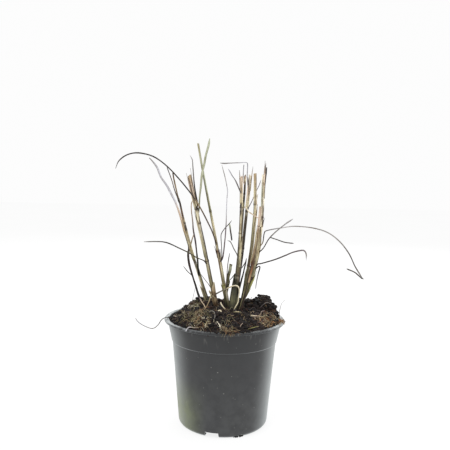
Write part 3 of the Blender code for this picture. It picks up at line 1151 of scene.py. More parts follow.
TUFTS = (
    Tuft((-42, -44), 21, 170, 5, tones("BROWN OLIVE OLIVE_TAN TAN")),
    Tuft((-42, -42), 18, 26, 6, tones("STRAW OLIVE_TAN TAN"), 0.9),
    Tuft((-32, -58), 10, 64, 4.5, tones("TAN ORANGE STRAW CREAM RUST"), 0.8),
    Tuft((-44, 20), 6, 50, 4.5, tones("STRAW YELLOW_GREEN OLIVE CREAM"), 0.9),
    Tuft((63, -39), 11, 150, 4, tones("TAN RUST ORANGE PEAT_PALE STRAW"), 0.8),
    Tuft((72, -24), 9, 100, 4.5, tones("OLIVE_TAN TAN STRAW RUST BROWN"), 0.8),
    Tuft((77, -17), 8, 90, 4, tones("TAN STRAW ORANGE RUST"), 0.8, True),
    Tuft((5, -77), 6, 120, 3.8, tones("TAN TAN OLIVE_TAN RUST BROWN"), 0.8, True),
    Tuft((-4, -68), 3, 10, 3, tones("STRAW CREAM"), 0.9),
    Tuft((66, -10), 14, 50, 5, tones("RUST BROWN MAUVE")),
    Tuft((0, 0), 74, 260, 4.5, tones("BROWN PEAT_RED MAUVE UMBER TAN")),
    Tuft((8, -32), 24, 34, 6, tones("TAN OLIVE_TAN MAUVE"), 0.8),
    Tuft((-52, 18), 20, 60, 5, tones("BROWN UMBER TAN")),
    Tuft((52, -22), 22, 36, 5, tones("TAN PINK_STRAW MAUVE")),
    Tuft((-62, -14), 14, 24, 5, tones("PINK_STRAW STRAW MAUVE"), 0.8),
)

ROOTS = (
    RootPlan(((-16, 6, 180), (-6, 0, 187), (5, -8, 194), (13, -13, 198), (18, -15, 197), (20, -15, 191),
        (19, -15, 182), (18, -14, 174), (12, -15, 163)), 2.5, 1.6,
        fade("0 SLATE 0.22 GREY 0.34 ROOT 0.6 ROOT 1 STRAW")),
    RootPlan(((-6, -9, 173), (-4, -11, 169), (0, -15, 165), (3, -19, 161), (4, -22, 155)), 2.2, 1.4),
    RootPlan(((35, -31.5, 160), (41, -31.2, 160), (47.7, -31, 159.3), (54, -30, 158)), 2.2, 1.3,
        fade("0 ROOT 0.5 PINK_STRAW 1 TAN")),
    RootPlan(((-50, -70, 148), (-48, -72, 152), (-45, -71, 153.5), (-41, -67, 151.5), (-37, -64, 151),
        (-32, -62, 150)), 1.5, 0.9, fade("0 LILAC_GREY 1 PINK_STRAW")),
    RootPlan(((80, 20, 150), (81, 20, 158), (83, 20, 166), (86, 20, 170), (89, 20, 173)), 1.0, 0.6,
        fade("0 GREY 1 LILAC_GREY")),
    RootPlan(((-20, 4, 182), (-22, -2, 174), (-26, -8, 166), (-31, -16, 161)), 1.9, 1.2,
        fade("0 STRAW 0.5 TAN 1 TAN")),
    RootPlan(((-73, -2, 150.5), (-69.5, -9, 151.8), (-66.5, -22, 152.8), (-64, -33, 152.4)), 1.4, 0.9,
        fade("0 GREY 0.4 PINK_STRAW 1 TAN")),
    RootPlan(((-58, 26, 155.5), (-54, 0, 158.5), (-51.5, -20, 160.5), (-50, -30, 160.8),
        (-48.5, -38, 160)), 1.1, 0.7, fade("0 PINK_STRAW 1 MAUVE")),
    RootPlan(((-38.5, 36, 170), (-36, 30, 168), (-33.8, 22.5, 166), (-30, 6, 165.5), (-27.3, -9, 164)),
        1.9, 1.3, fade("0 MAUVE 0.3 PINK_STRAW 1 TAN")),
    RootPlan(((-21, -29, 163.8), (-18.5, -29.5, 165.4), (-16, -30, 165), (-13.2, -38.7, 163.2),
        (-13.4, -51, 160)), 1.5, 0.9, fade("0 GREY 1 GREY")),
    RootPlan(((-9, -24, 164.4), (-6.5, -25.5, 165.2), (-4.4, -28, 163.6)), 2.5, 1.7),
    RootPlan(((-1, -50, 157), (3, -44, 160), (6, -38, 162), (8, -32, 163)), 1.0, 0.6,
        fade("0 MOSS 1 OLIVE_TAN")),
    RootPlan(((12, -26, 163.4), (16, -27, 164.2), (20, -27, 164), (24, -25.5, 162.5)), 1.9, 1.2,
        fade("0 OLIVE 0.5 STRAW 1 OLIVE")),
    RootPlan(((30, -64, 150), (35, -65, 152), (41, -61, 152.5), (46, -55, 152)), 1.1, 0.7,
        fade("0 OLIVE 0.5 YELLOW_GREEN 1 OLIVE_TAN")),
    RootPlan(((19, -64, 151), (22, -60, 155), (25, -56, 157), (28, -50, 157)), 1.2, 0.7,
        fade("0 PINK_STRAW 1 MAUVE")),
    RootPlan(((-50, 42, 158), (-48, 42, 168), (-46, 42, 178), (-44.5, 42, 186)), 0.9, 0.6,
        fade("0 MAUVE 1 LILAC_GREY")),
    RootPlan(((50, -2, 164), (54, -6, 170), (60, -4, 173), (66, 0, 170)), 1.0, 0.7,
        fade("0 MAUVE 1 GREY")),
    RootPlan(((56, -10, 162), (52, -16, 163), (50, -22, 160), (52, -30, 156)), 1.0, 0.7,
        fade("0 MAUVE 1 TAN")),
)

HEAPED_CLODS = (
    ((47.5, 40, 169.3), 5), ((51.6, 40, 172.9), 5.6), ((55.5, 40, 172.3), 6),
    ((59.5, 40, 171.9), 5.6), ((62.6, 40, 172.4), 5.6), ((66, 40, 171.2), 5.6),
    ((67.6, 38, 167.4), 5.2), ((43, 40, 166.8), 4.4), ((-41.5, 40, 166.9), 5),
    ((-38, 41, 167.4), 5), ((-50.2, 42, 160.2), 4.8), ((-57.3, 38, 155.8), 4.8),
    ((-33, 42, 167), 4.4), ((-46, 42, 162.6), 4.4),
)


class PottingMix:
    """The plug of peat, its crumbs, its fibre and its fine roots."""

    seed = 417
    edge_gap = 0.35
    edge_height = 144.0
    ground_share = 0.995
    rings = 56
    turns = 180
    crumbs = 4300
    clods = 620
    chips = 200
    overhang = 2.0
    front_spill = 95
    lip_spill = 70
    foot_spill = 16
    dark = tones("PEAT_BLACK PEAT_BLACK PEAT PEAT PEAT_RED")
    bark = tones("BROWN PEAT_RED UMBER UMBER RUST")

    def __init__(self, pot: NurseryPot, ground: Ground) -> None:
        """Takes the pot that holds the mix and the frame's ground."""
        self.pot = pot
        self.ground = ground
        self.random = random.Random(self.seed)
        self.edge = pot.rim_radius - pot.lip_width - self.edge_gap

    @staticmethod
    def lumps(x: float, y: float) -> float:
        """Gives how far the crumbly surface stands above the even ground, in millimetres."""
        place = Vector((x, y, 0.0))
        coarse = 2.8 * noise.noise(place / 8.0)
        medium = 2.0 * noise.noise(place / 3.6 + Vector((7.0, 1.0, 3.0)))
        fine = 0.8 * noise.noise(place / 1.7 + Vector((2.0, 9.0, 5.0)))
        return coarse + medium + fine

    def surface(self, x: float, y: float) -> float:
        """Gives the height of the crumbly surface, settling towards the pot's wall."""
        share = math.hypot(x, y) / self.edge
        level = self.ground.height(x * self.ground_share, y * self.ground_share)
        return level + self.lumps(x, y) * (1.0 - 0.6 * share**8)

    def plug(self) -> BMesh:
        """Spins the plug and works its top into lumps."""
        pot = self.pot
        floor = pot.floor_lift + pot.wall + 0.4
        inside = [
            (self.edge, self.edge_height),
            (pot.collar_foot - pot.wall - 0.4, pot.ledge + 1.0),
            (pot.body_radius(pot.ledge) - pot.wall - 0.4, pot.ledge - 1.0),
            (pot.body_radius(floor) - pot.wall - 1.9, floor),
            (0.0, floor),
        ]
        top = [(self.edge * i / self.rings, self.edge_height) for i in range(self.rings)]
        shape = bmesh.new()
        tint = shape.verts.layers.float_color.new("tint")
        spin_profile(shape, top + inside, self.turns)
        for vert in shape.verts:
            x, y = vert.co.x / MM, vert.co.y / MM
            if vert.co.z / MM > self.edge_height - 0.1:
                vert.co.z = self.surface(x, y) * MM
            dry = 0.5 + 0.5 * noise.noise(Vector((x, y, 4.0)) / 14.0)
            vert[tint] = rgba(mixed(Tone.PEAT_BLACK.value, Tone.PEAT.value, dry))
        bmesh.ops.translate(shape, verts=shape.verts, vec=AXIS)
        return shape

    def clod(self, roundness: int) -> Mesh:
        """Makes one uneven crumb, about one unit across."""
        shape = bmesh.new()
        shape.verts.layers.float_color.new("tint")
        bmesh.ops.create_icosphere(shape, subdivisions=roundness, radius=0.5)
        shift = Vector([self.random.uniform(0.0, 50.0) for _ in range(3)])
        for vert in shape.verts:
            bulge = noise.noise(vert.co * 3.0 + shift)
            vert.co *= 1.0 + 0.75 * bulge
        return mesh_of("clod", shape)

    def chip(self) -> Mesh:
        """Makes one splinter of bark, about one unit long."""
        shape = bmesh.new()
        shape.verts.layers.float_color.new("tint")
        bmesh.ops.create_cube(shape, size=1.0)
        bmesh.ops.subdivide_edges(shape, edges=shape.edges[:], cuts=1, use_grid_fill=True)
        for vert in shape.verts:
            taper = 1.0 - 0.6 * abs(2.0 * vert.co.x) ** 1.5
            wander = self.random.uniform(-0.05, 0.05)
            breadth, height = vert.co.y * 0.3 * taper, vert.co.z * 0.14
            vert.co = Vector((vert.co.x, breadth + wander, height + wander))
        return mesh_of("chip", shape)

    def somewhere(self) -> tuple[float, float]:
        """Picks a place on the mix, evenly over its area."""
        angle = self.random.uniform(0.0, math.tau)
        radius = (self.edge - 0.6) * math.sqrt(self.random.random())
        return radius * math.cos(angle), radius * math.sin(angle)

    def strew(
        self,
        shapes: Sequence[Mesh],
        count: int,
        sizes: tuple[float, float],
        flatness: tuple[float, float],
        tones: Sequence[Tone],
        sink: float,
    ) -> BMesh:
        """Strews copies of small shapes over the mix and joins them.

        Args:
            shapes: The shapes to copy.
            count: How many copies there are.
            sizes: The smallest and largest size in millimetres; small ones are commoner.
            flatness: The least and most height, as a share of the size.
            tones: The tones to pick from.
            sink: How deep a copy sits in the mix, as a share of its size.

        Returns:
            The joined copies.
        """
        heap = Heap()
        for _ in range(count):
            x, y = self.somewhere()
            size = sizes[0] + (sizes[1] - sizes[0]) * self.random.random() ** 2.2
            turn = Matrix.Rotation(self.random.uniform(0.0, math.tau), 4, "Z")
            lean = Matrix.Rotation(self.random.uniform(-0.7, 0.7), 4, "X")
            squash = Matrix.Diagonal((1.0, 1.0, self.random.uniform(*flatness), 1.0))
            up = self.surface(x, y) - sink * size
            place = Matrix.Translation(metres((x, y, up))) @ turn @ lean
            heap.add(self.copy(shapes, place @ Matrix.Scale(size * MM, 4) @ squash, tones))
        return heap.joined()

    def copy(self, shapes: Sequence[Mesh], place: Matrix, tones: Sequence[Tone]) -> BMesh:
        """Sets a copy of one of the shapes, in one of the tones, where the matrix puts it."""
        shape = bmesh.new()
        shape.from_mesh(self.random.choice(shapes))
        tint = shape.verts.layers.float_color["tint"]
        tone = scaled(self.random.choice(tones).value, self.random.uniform(0.45, 1.15))
        shape.transform(place)
        for vert in shape.verts:
            vert[tint] = rgba(tone)
        return shape

    def rest(self, x: float, y: float) -> float:
        """Gives the height that a fibre rests on: the mix, the lip, or the air beyond the rim."""
        out = math.hypot(x, y)
        if out < self.edge:
            return self.surface(x, y)
        beyond = max(0.0, out - self.pot.rim_radius + 0.5)
        return self.pot.height + 0.3 - 1.8 * beyond

    def fibre(self, tuft: Tuft) -> BMesh:
        """Lays one curling fibre of a tuft on the mix.

        Args:
            tuft: The tuft that the fibre belongs to.

        Returns:
            The fibre.
        """
        pick = self.random
        limit = self.pot.rim_radius + self.overhang if tuft.spills else self.edge - 0.5
        while True:
            angle = pick.uniform(0.0, math.tau)
            radius = tuft.reach * math.sqrt(pick.random())
            x = tuft.middle[0] + radius * math.cos(angle)
            y = tuft.middle[1] + radius * math.sin(angle)
            if math.hypot(x, y) < limit:
                break
        heading = pick.uniform(0.0, math.tau)
        bend = pick.uniform(-0.3, 0.3)
        stride = pick.uniform(1.2, 3.2)
        steps = pick.randint(3, 8)
        lift = tuft.lift * pick.random() ** 1.6
        route = []
        for step in range(steps + 1):
            if math.hypot(x, y) > limit:
                break
            hump = lift * math.sin(math.pi * step / steps) ** 0.8
            route.append((x, y, self.rest(x, y) + 0.3 + hump))
            heading += bend + pick.uniform(-0.45, 0.45)
            x += stride * math.cos(heading)
            y += stride * math.sin(heading)
        if len(route) < 2:
            route.append((route[0][0] + 1.0, route[0][1] + 1.0, route[0][2]))
        points = smooth_route(route, 2)
        lengths = lengths_along(points)
        girth = 0.5 * tuft.thickest * pick.uniform(0.5, 1.0)
        stations = [
            Station(place, Round(girth * (1.0 - 0.5 * length / lengths[-1])), length)
            for place, length in zip(frames_along(points, Vector((0.3, 0.2, 1.0))), lengths)
        ]
        tone = scaled(pick.choice(tuft.tones).value, pick.uniform(0.35, 1.1))
        return Sweep().tube(stations, 4).paint(lambda share, along: tone).shape

    def root(self, plan: RootPlan) -> BMesh:
        """Grows one fine root along its plan."""
        points = smooth_route(plan.route, 5)
        lengths = lengths_along(points)
        stations = []
        for place, length in zip(frames_along(points, Vector((0.2, 0.9, 0.3))), lengths):
            share = length / lengths[-1]
            girth = 0.5 * (plan.thick + (plan.thin - plan.thick) * share)
            knots = 1.0 + 0.14 * wave(length * 400.0, plan.thick, 0.0)
            closing = 1.0 - 0.7 * between(share, 0.93, 1.0)
            stations.append(Station(place, Round(girth * knots * closing, 0.85), length))
        sweep = Sweep().tube(stations, 10)
        return sweep.paint(lambda side, along: toned(plan.stops, along / lengths[-1])).shape

    def spill(self, crumb: Sequence[Mesh]) -> BMesh:
        """Sets crumbs on the lip, in the front where fibre hangs over it, and under the foot."""
        heap = Heap()
        pick = self.random
        lip = self.pot.rim_radius - 0.5 * self.pot.lip_width
        spots = []
        for _ in range(self.front_spill):
            angle = math.radians(pick.gauss(-86.0, 9.0))
            radius = lip + pick.uniform(-4.0, 2.6)
            spots.append((radius, angle, self.pot.height + pick.uniform(-0.4, 1.4), 2.6))
        for _ in range(self.lip_spill):
            angle = pick.uniform(0.0, math.tau)
            spots.append((lip + pick.uniform(-3.4, 0.2), angle, self.pot.height + 0.2, 1.4))
        for _ in range(self.foot_spill):
            angle = math.radians(pick.uniform(-75.5, -64.0))
            spots.append((self.pot.base_radius - pick.uniform(1.0, 3.2), angle, 1.3, 3.4))
        for radius, angle, up, largest in spots:
            size = pick.uniform(0.5, 1.0) * largest
            up = max(up, 0.62 * size)
            place = metres((radius * math.cos(angle), radius * math.sin(angle), up))
            turn = Matrix.Rotation(pick.uniform(0.0, math.tau), 4, "Z")
            matrix = Matrix.Translation(place) @ turn @ Matrix.Scale(size * MM, 4)
            heap.add(self.copy(crumb, matrix, self.dark[:3]))
        for spot, size in HEAPED_CLODS:
            matrix = Matrix.Translation(metres(spot)) @ Matrix.Scale(size * MM, 4)
            heap.add(self.copy(crumb, matrix, self.dark[1:4]))
        return heap.joined()

    def build(self) -> None:
        """Builds the plug, then everything that lies on it."""
        peat = CrumbFinish("damp_peat", 0.95, 420.0, 1.0).material()
        crumb = CrumbFinish("peat_crumb", 0.92, 900.0, 0.4).material()
        strand = GrassFinish("mix_fibre", 0.75, 3000.0, 0.3, 0.35, 0.05).material()
        root = GrassFinish("pale_root", 0.6, 1600.0, 0.2, 0.25, 0.08).material()
        add_piece("peat_plug", self.plug(), peat, ("potting_mix",), crease=80.0)
        small = [self.clod(1) for _ in range(9)]
        large = [self.clod(2) for _ in range(7)]
        chips = [self.chip() for _ in range(6)]
        fine = self.strew(small, self.crumbs, (0.9, 3.4), (0.6, 1.0), self.dark, sink=0.1)
        add_piece("peat_crumbs", fine, crumb, crease=50.0)
        coarse = self.strew(large, self.clods, (3.0, 8.5), (0.6, 1.05), self.dark, sink=-0.02)
        add_piece("peat_clods", coarse, peat, crease=70.0)
        flakes = self.strew(chips, self.chips, (3.0, 9.0), (1.0, 1.0), self.bark, sink=0.0)
        add_piece("bark_chips", flakes, crumb, crease=40.0)
        add_piece("loose_spill", self.spill(large), crumb, crease=60.0)
        mat = Heap()
        for tuft in TUFTS:
            for _ in range(tuft.count):
                mat.add(self.fibre(tuft))
        add_piece("fibre_mat", mat.joined(), strand, crease=80.0)
        web = Heap()
        for plan in ROOTS:
            web.add(self.root(plan))
        add_piece("fine_roots", web.joined(), root, crease=60.0)


# ---- the culms


@dataclass(frozen=True)
class Mark:
    """A mark of colour on a culm: where it starts and ends along it, its tone and which side it is on."""

    start: float
    end: float
    tone: Tone
    strength: float = 0.9
    side: Side | None = None


@dataclass(frozen=True)
class Sheath:
    """A torn leaf sheath round a culm: its reach, its spread round it and how far it flares."""

    start: float
    end: float
    spread: float
    side: Side
    flare: float
    stops: Stops
    slack: float = 0.0


@dataclass(frozen=True)
class CulmPlan:
    """One culm: the route and thickness of the frame's node, and what shows on it."""

    name: str
    foot: tuple[float, float]
    knee: Place
    tip: Place
    foot_size: float
    tip_size: float
    stops: Stops
    nodes: tuple[float, ...] = ()
    marks: tuple[Mark, ...] = ()
    sheaths: tuple[Sheath, ...] = ()
    cut: Cut = Cut.RAGGED


OLIVE_FOOT = fade("0 UMBER 0.25 MOSS 0.6 OLIVE 1 OLIVE_TAN")
BROWN_FOOT = fade("0 UMBER 0.3 BROWN 0.7 TAN 1 STRAW")
DARK_SHEATH = fade("0 SOOT 0.35 DEEP_OLIVE 0.7 MOSS 1 OLIVE")
DRY_SHEATH = fade("0 OLIVE_TAN 0.6 STRAW 1 TAN")
PALE_SPIKE = fade("0 STRAW 0.6 PINK_STRAW 1 GREY")
DARK_SPIKE = fade("0 TAN 0.3 BROWN 0.8 UMBER 1 BROWN")

CULMS = (
    CulmPlan("culm_far_left", (-26, 30), (-54, 42, 250), (-73, 52, 320), 5.6, 2.8,
        fade("0 MOSS 0.06 OLIVE_TAN 0.2 OLIVE_TAN 0.3 OLIVE 0.42 STRAW 0.7 STRAW 0.8 BROWN 1 TAN"),
        nodes=(0.34, 0.72, 0.97),
        marks=(Mark(0.87, 0.985, Tone.SOOT), Mark(0.64, 0.73, Tone.SOOT, 0.95, Side.FRONT),
            Mark(0.3, 0.37, Tone.MOSS, 0.8), Mark(0.3, 0.9, Tone.BROWN, 0.7, Side.LEFT),
            Mark(0.0, 0.3, Tone.CREAM, 0.7, Side.LEFT)),
        sheaths=(Sheath(0.02, 0.34, 160, Side.RIGHT, 0.8, OLIVE_FOOT),
            Sheath(0.36, 0.7, 210, Side.LEFT, 0.5, DRY_SHEATH),
            Sheath(-0.02, 0.16, 160, Side.LEFT, 1.4, fade("0 OLIVE 0.3 OLIVE_TAN 1 STRAW"), 0.8)),
        cut=Cut.WITHERED),
    CulmPlan("culm_left", (-12.5, 8), (-32.5, -4, 258), (-52, -20, 350), 6.4, 4.8,
        fade("0 UMBER 0.08 BROWN 0.2 OLIVE_TAN 0.4 STRAW 0.6 CREAM 0.78 STRAW 0.9 PINK_STRAW 1 TAN"),
        nodes=(0.37, 0.66, 0.765),
        marks=(Mark(0.75, 0.785, Tone.SOOT, 1.0, Side.RIGHT),
            Mark(0.756, 0.78, Tone.SOOT, 0.75, Side.FRONT), Mark(0.65, 0.67, Tone.BROWN, 0.7),
            Mark(0.33, 0.41, Tone.MOSS, 0.8, Side.RIGHT), Mark(0.0, 0.72, Tone.UMBER, 0.85, Side.RIGHT),
            Mark(0.1, 0.75, Tone.OLIVE, 0.75, Side.LEFT)),
        sheaths=(Sheath(0.4, 0.75, 200, Side.LEFT, 0.6, DRY_SHEATH),
            Sheath(0.0, 0.2, 200, Side.RIGHT, 1.6, BROWN_FOOT),
            Sheath(-0.02, 0.13, 170, Side.LEFT, 3.0, BROWN_FOOT),
            Sheath(-0.02, 0.1, 150, Side.FRONT, 2.4, BROWN_FOOT),
            Sheath(0.78, 1.02, 130, Side.LEFT, 0.6, PALE_SPIKE),
            Sheath(0.8, 1.05, 60, Side.RIGHT, 0.2, PALE_SPIKE)),
        cut=Cut.SLANTED),
    CulmPlan("culm_tallest", (4.5, 0), (-17, -2, 272), (-42, 0, 396), 6.4, 2.8,
        fade("0 MOSS 0.06 OLIVE 0.12 OLIVE_TAN 0.16 YELLOW_GREEN 0.22 OLIVE_TAN 0.3 TAN 0.42 STRAW "
             "0.55 STRAW 0.64 OLIVE_TAN 0.78 GREY_GREEN 0.86 GREY_GREEN 1 OLIVE_TAN"),
        nodes=(0.17, 0.4, 0.64),
        marks=(Mark(0.62, 0.67, Tone.GREEN, 0.5), Mark(0.385, 0.41, Tone.RUST, 0.95),
            Mark(0.18, 0.42, Tone.UMBER, 0.85, Side.RIGHT), Mark(0.18, 0.42, Tone.BROWN, 0.7, Side.LEFT),
            Mark(0.42, 0.9, Tone.OLIVE, 0.8, Side.LEFT), Mark(0.0, 0.1, Tone.UMBER, 0.4, Side.LEFT)),
        sheaths=(Sheath(0.18, 0.41, 230, Side.RIGHT, 1.2, DRY_SHEATH),
            Sheath(0.36, 0.44, 60, Side.LEFT, 1.6, DARK_SPIKE),
            Sheath(0.02, 0.19, 200, Side.LEFT, 0.8, fade("0 MOSS 0.4 OLIVE 0.8 OLIVE_TAN 1 YELLOW_GREEN")),
            Sheath(-0.02, 0.15, 70, Side.FRONT_RIGHT, 1.2, fade("0 OLIVE 0.3 OLIVE_TAN 1 CREAM")))),
    CulmPlan("culm_stub", (-1, 8), (4, 13, 202), (8, 16, 224), 4.8, 4.6,
        fade("0 UMBER 0.25 MOSS 0.6 OLIVE 0.9 GREY_GREEN 1 OLIVE"),
        nodes=(0.45,),
        marks=(Mark(0.5, 0.75, Tone.SOOT, 0.8, Side.LEFT),),
        sheaths=(Sheath(0.0, 0.5, 220, Side.RIGHT, 0.9, OLIVE_FOOT),),
        cut=Cut.CLEAN),
    CulmPlan("culm_middle", (11.5, -8), (20, 0, 265), (20, 2, 351), 8.6, 3.6,
        fade("0 SOOT 0.1 MOSS 0.2 MOSS 0.27 OLIVE 0.4 OLIVE_TAN 0.6 STRAW 0.75 STRAW 1 PINK_STRAW"),
        nodes=(0.24, 0.55, 0.75),
        marks=(Mark(0.69, 0.785, Tone.SOOT, 1.0, Side.FRONT_LEFT),
            Mark(0.24, 0.7, Tone.UMBER, 0.85, Side.LEFT), Mark(0.0, 0.2, Tone.MOSS, 0.8),
            Mark(0.2, 0.75, Tone.BROWN, 0.8, Side.RIGHT)),
        sheaths=(Sheath(-0.02, 0.25, 250, Side.LEFT, 0.6, DARK_SHEATH, 2.6),
            Sheath(-0.02, 0.19, 220, Side.RIGHT, 1.2, DARK_SHEATH, 1.5),
            Sheath(0.0, 0.17, 120, Side.FRONT, 1.2, fade("0 SOOT 0.3 MOSS 0.8 OLIVE 1 OLIVE_TAN")),
            Sheath(0.3, 0.55, 150, Side.RIGHT, 0.5, DRY_SHEATH),
            Sheath(0.78, 1.05, 70, Side.LEFT, 1.4, PALE_SPIKE))),
    CulmPlan("culm_middle_back", (14.5, 16), (23, 21, 284), (26, 24, 351), 5.0, 2.8,
        fade("0 UMBER 0.2 MOSS 0.45 OLIVE 0.75 OLIVE_TAN 0.96 TAN 1 PINK_STRAW"),
        nodes=(0.35, 0.78),
        marks=(Mark(0.69, 0.81, Tone.SOOT, 1.0), Mark(0.8, 0.92, Tone.UMBER, 0.85),
            Mark(0.1, 0.68, Tone.UMBER, 0.9, Side.RIGHT)),
        sheaths=(Sheath(0.0, 0.3, 240, Side.RIGHT, 1.0, OLIVE_FOOT),
            Sheath(0.93, 1.03, 120, Side.FRONT, 0.2, PALE_SPIKE))),
    CulmPlan("culm_back", (15.5, 28), (26.5, 36, 262), (34, 46, 353), 5.0, 4.4,
        fade("0 UMBER 0.25 BROWN 0.45 OLIVE 0.6 OLIVE_TAN 0.75 STRAW 1 CREAM"),
        nodes=(0.43, 0.72),
        marks=(Mark(0.7, 0.74, Tone.SOOT, 1.0), Mark(0.39, 0.46, Tone.UMBER, 0.9),
            Mark(0.1, 0.7, Tone.UMBER, 0.95, Side.FRONT), Mark(0.75, 1.0, Tone.BROWN, 0.7, Side.LEFT),
            Mark(0.84, 1.0, Tone.TAN, 0.8, Side.RIGHT)),
        sheaths=(Sheath(0.74, 0.98, 150, Side.LEFT, 0.8, PALE_SPIKE),
            Sheath(0.88, 1.07, 80, Side.RIGHT, 0.3, PALE_SPIKE),
            Sheath(0.0, 0.2, 200, Side.BACK, 1.4, OLIVE_FOOT))),
    CulmPlan("culm_right_front", (23, 6), (37.5, 2, 267), (38, -8, 355), 5.0, 4.2,
        fade("0 UMBER 0.15 MOSS 0.35 BROWN 0.5 OLIVE_TAN 0.7 STRAW 0.85 STRAW 1 TAN"),
        nodes=(0.3, 0.76),
        marks=(Mark(0.735, 0.785, Tone.UMBER, 0.9, Side.LEFT), Mark(0.25, 0.33, Tone.BROWN, 0.8),
            Mark(0.3, 0.75, Tone.OLIVE, 0.8, Side.LEFT), Mark(0.8, 1.0, Tone.BROWN, 0.7, Side.RIGHT),
            Mark(0.35, 0.8, Tone.TAN, 0.6, Side.RIGHT)),
        sheaths=(Sheath(0.0, 0.3, 200, Side.FRONT, 1.2, OLIVE_FOOT),
            Sheath(0.32, 0.76, 170, Side.RIGHT, 0.6, DRY_SHEATH),
            Sheath(0.76, 0.84, 110, Side.RIGHT, 1.8, fade("0 TAN 1 CREAM"))),
        cut=Cut.CLEAN),
    CulmPlan("culm_right_short", (21.5, -8), (39.5, -11, 242), (46, -20, 310), 4.4, 3.4,
        fade("0 UMBER 0.2 UMBER 0.4 BROWN 0.7 TAN 0.85 PINK_STRAW 1 PINK_STRAW"),
        nodes=(0.4, 0.8),
        marks=(Mark(0.36, 0.48, Tone.BROWN, 0.8), Mark(0.5, 0.9, Tone.RUST, 0.5, Side.LEFT),
            Mark(0.18, 0.28, Tone.OLIVE, 0.8, Side.RIGHT)),
        sheaths=(Sheath(0.0, 0.34, 190, Side.LEFT, 1.6, OLIVE_FOOT),
            Sheath(0.26, 0.52, 70, Side.FRONT, 2.6, fade("0 TAN 0.4 RUST 0.8 BROWN 1 TAN")),
            Sheath(0.42, 0.8, 150, Side.LEFT, 0.8, fade("0 RUST 0.3 TAN 1 STRAW")),
            Sheath(0.8, 1.06, 90, Side.RIGHT, 0.4, PALE_SPIKE),
            Sheath(-0.02, 0.22, 60, Side.FRONT_LEFT, 1.0, fade("0 OLIVE 0.3 OLIVE_TAN 1 STRAW")))),
    CulmPlan("culm_right", (21.2, 20.5), (46.5, 26, 240), (53, 34, 354), 5.4, 4.8,
        fade("0 UMBER 0.12 MOSS 0.24 OLIVE 0.34 BROWN 0.45 OLIVE_TAN 0.58 STRAW 0.9 CREAM 1 CREAM"),
        nodes=(0.3, 0.76),
        marks=(Mark(0.71, 0.83, Tone.UMBER, 0.9, Side.RIGHT), Mark(0.725, 0.775, Tone.BROWN, 0.9),
            Mark(0.9, 1.0, Tone.UMBER, 0.95, Side.RIGHT), Mark(0.22, 0.34, Tone.BROWN, 0.7),
            Mark(0.15, 0.26, Tone.GREEN, 0.7, Side.RIGHT), Mark(0.34, 0.6, Tone.OLIVE, 0.8, Side.RIGHT),
            Mark(0.79, 0.95, Tone.GREY_GREEN, 0.9, Side.LEFT)),
        sheaths=(Sheath(0.0, 0.38, 210, Side.RIGHT, 1.4, fade("0 UMBER 0.4 OLIVE 0.8 YELLOW_GREEN "
                                                              "1 OLIVE_TAN")),
            Sheath(-0.02, 0.22, 60, Side.RIGHT, 1.0, fade("0 OLIVE 0.4 CREAM 1 STRAW")),
            Sheath(0.32, 0.7, 170, Side.FRONT, 0.8, DRY_SHEATH),
            Sheath(0.87, 1.04, 110, Side.RIGHT, 3.2, DARK_SPIKE),
            Sheath(0.88, 1.07, 60, Side.FRONT, 0.6, PALE_SPIKE),
            Sheath(0.9, 1.06, 60, Side.BACK, 1.4, DARK_SPIKE),
            Sheath(0.7, 0.76, 90, Side.RIGHT, 1.4, DARK_SPIKE)),
        cut=Cut.CLEAN),
)


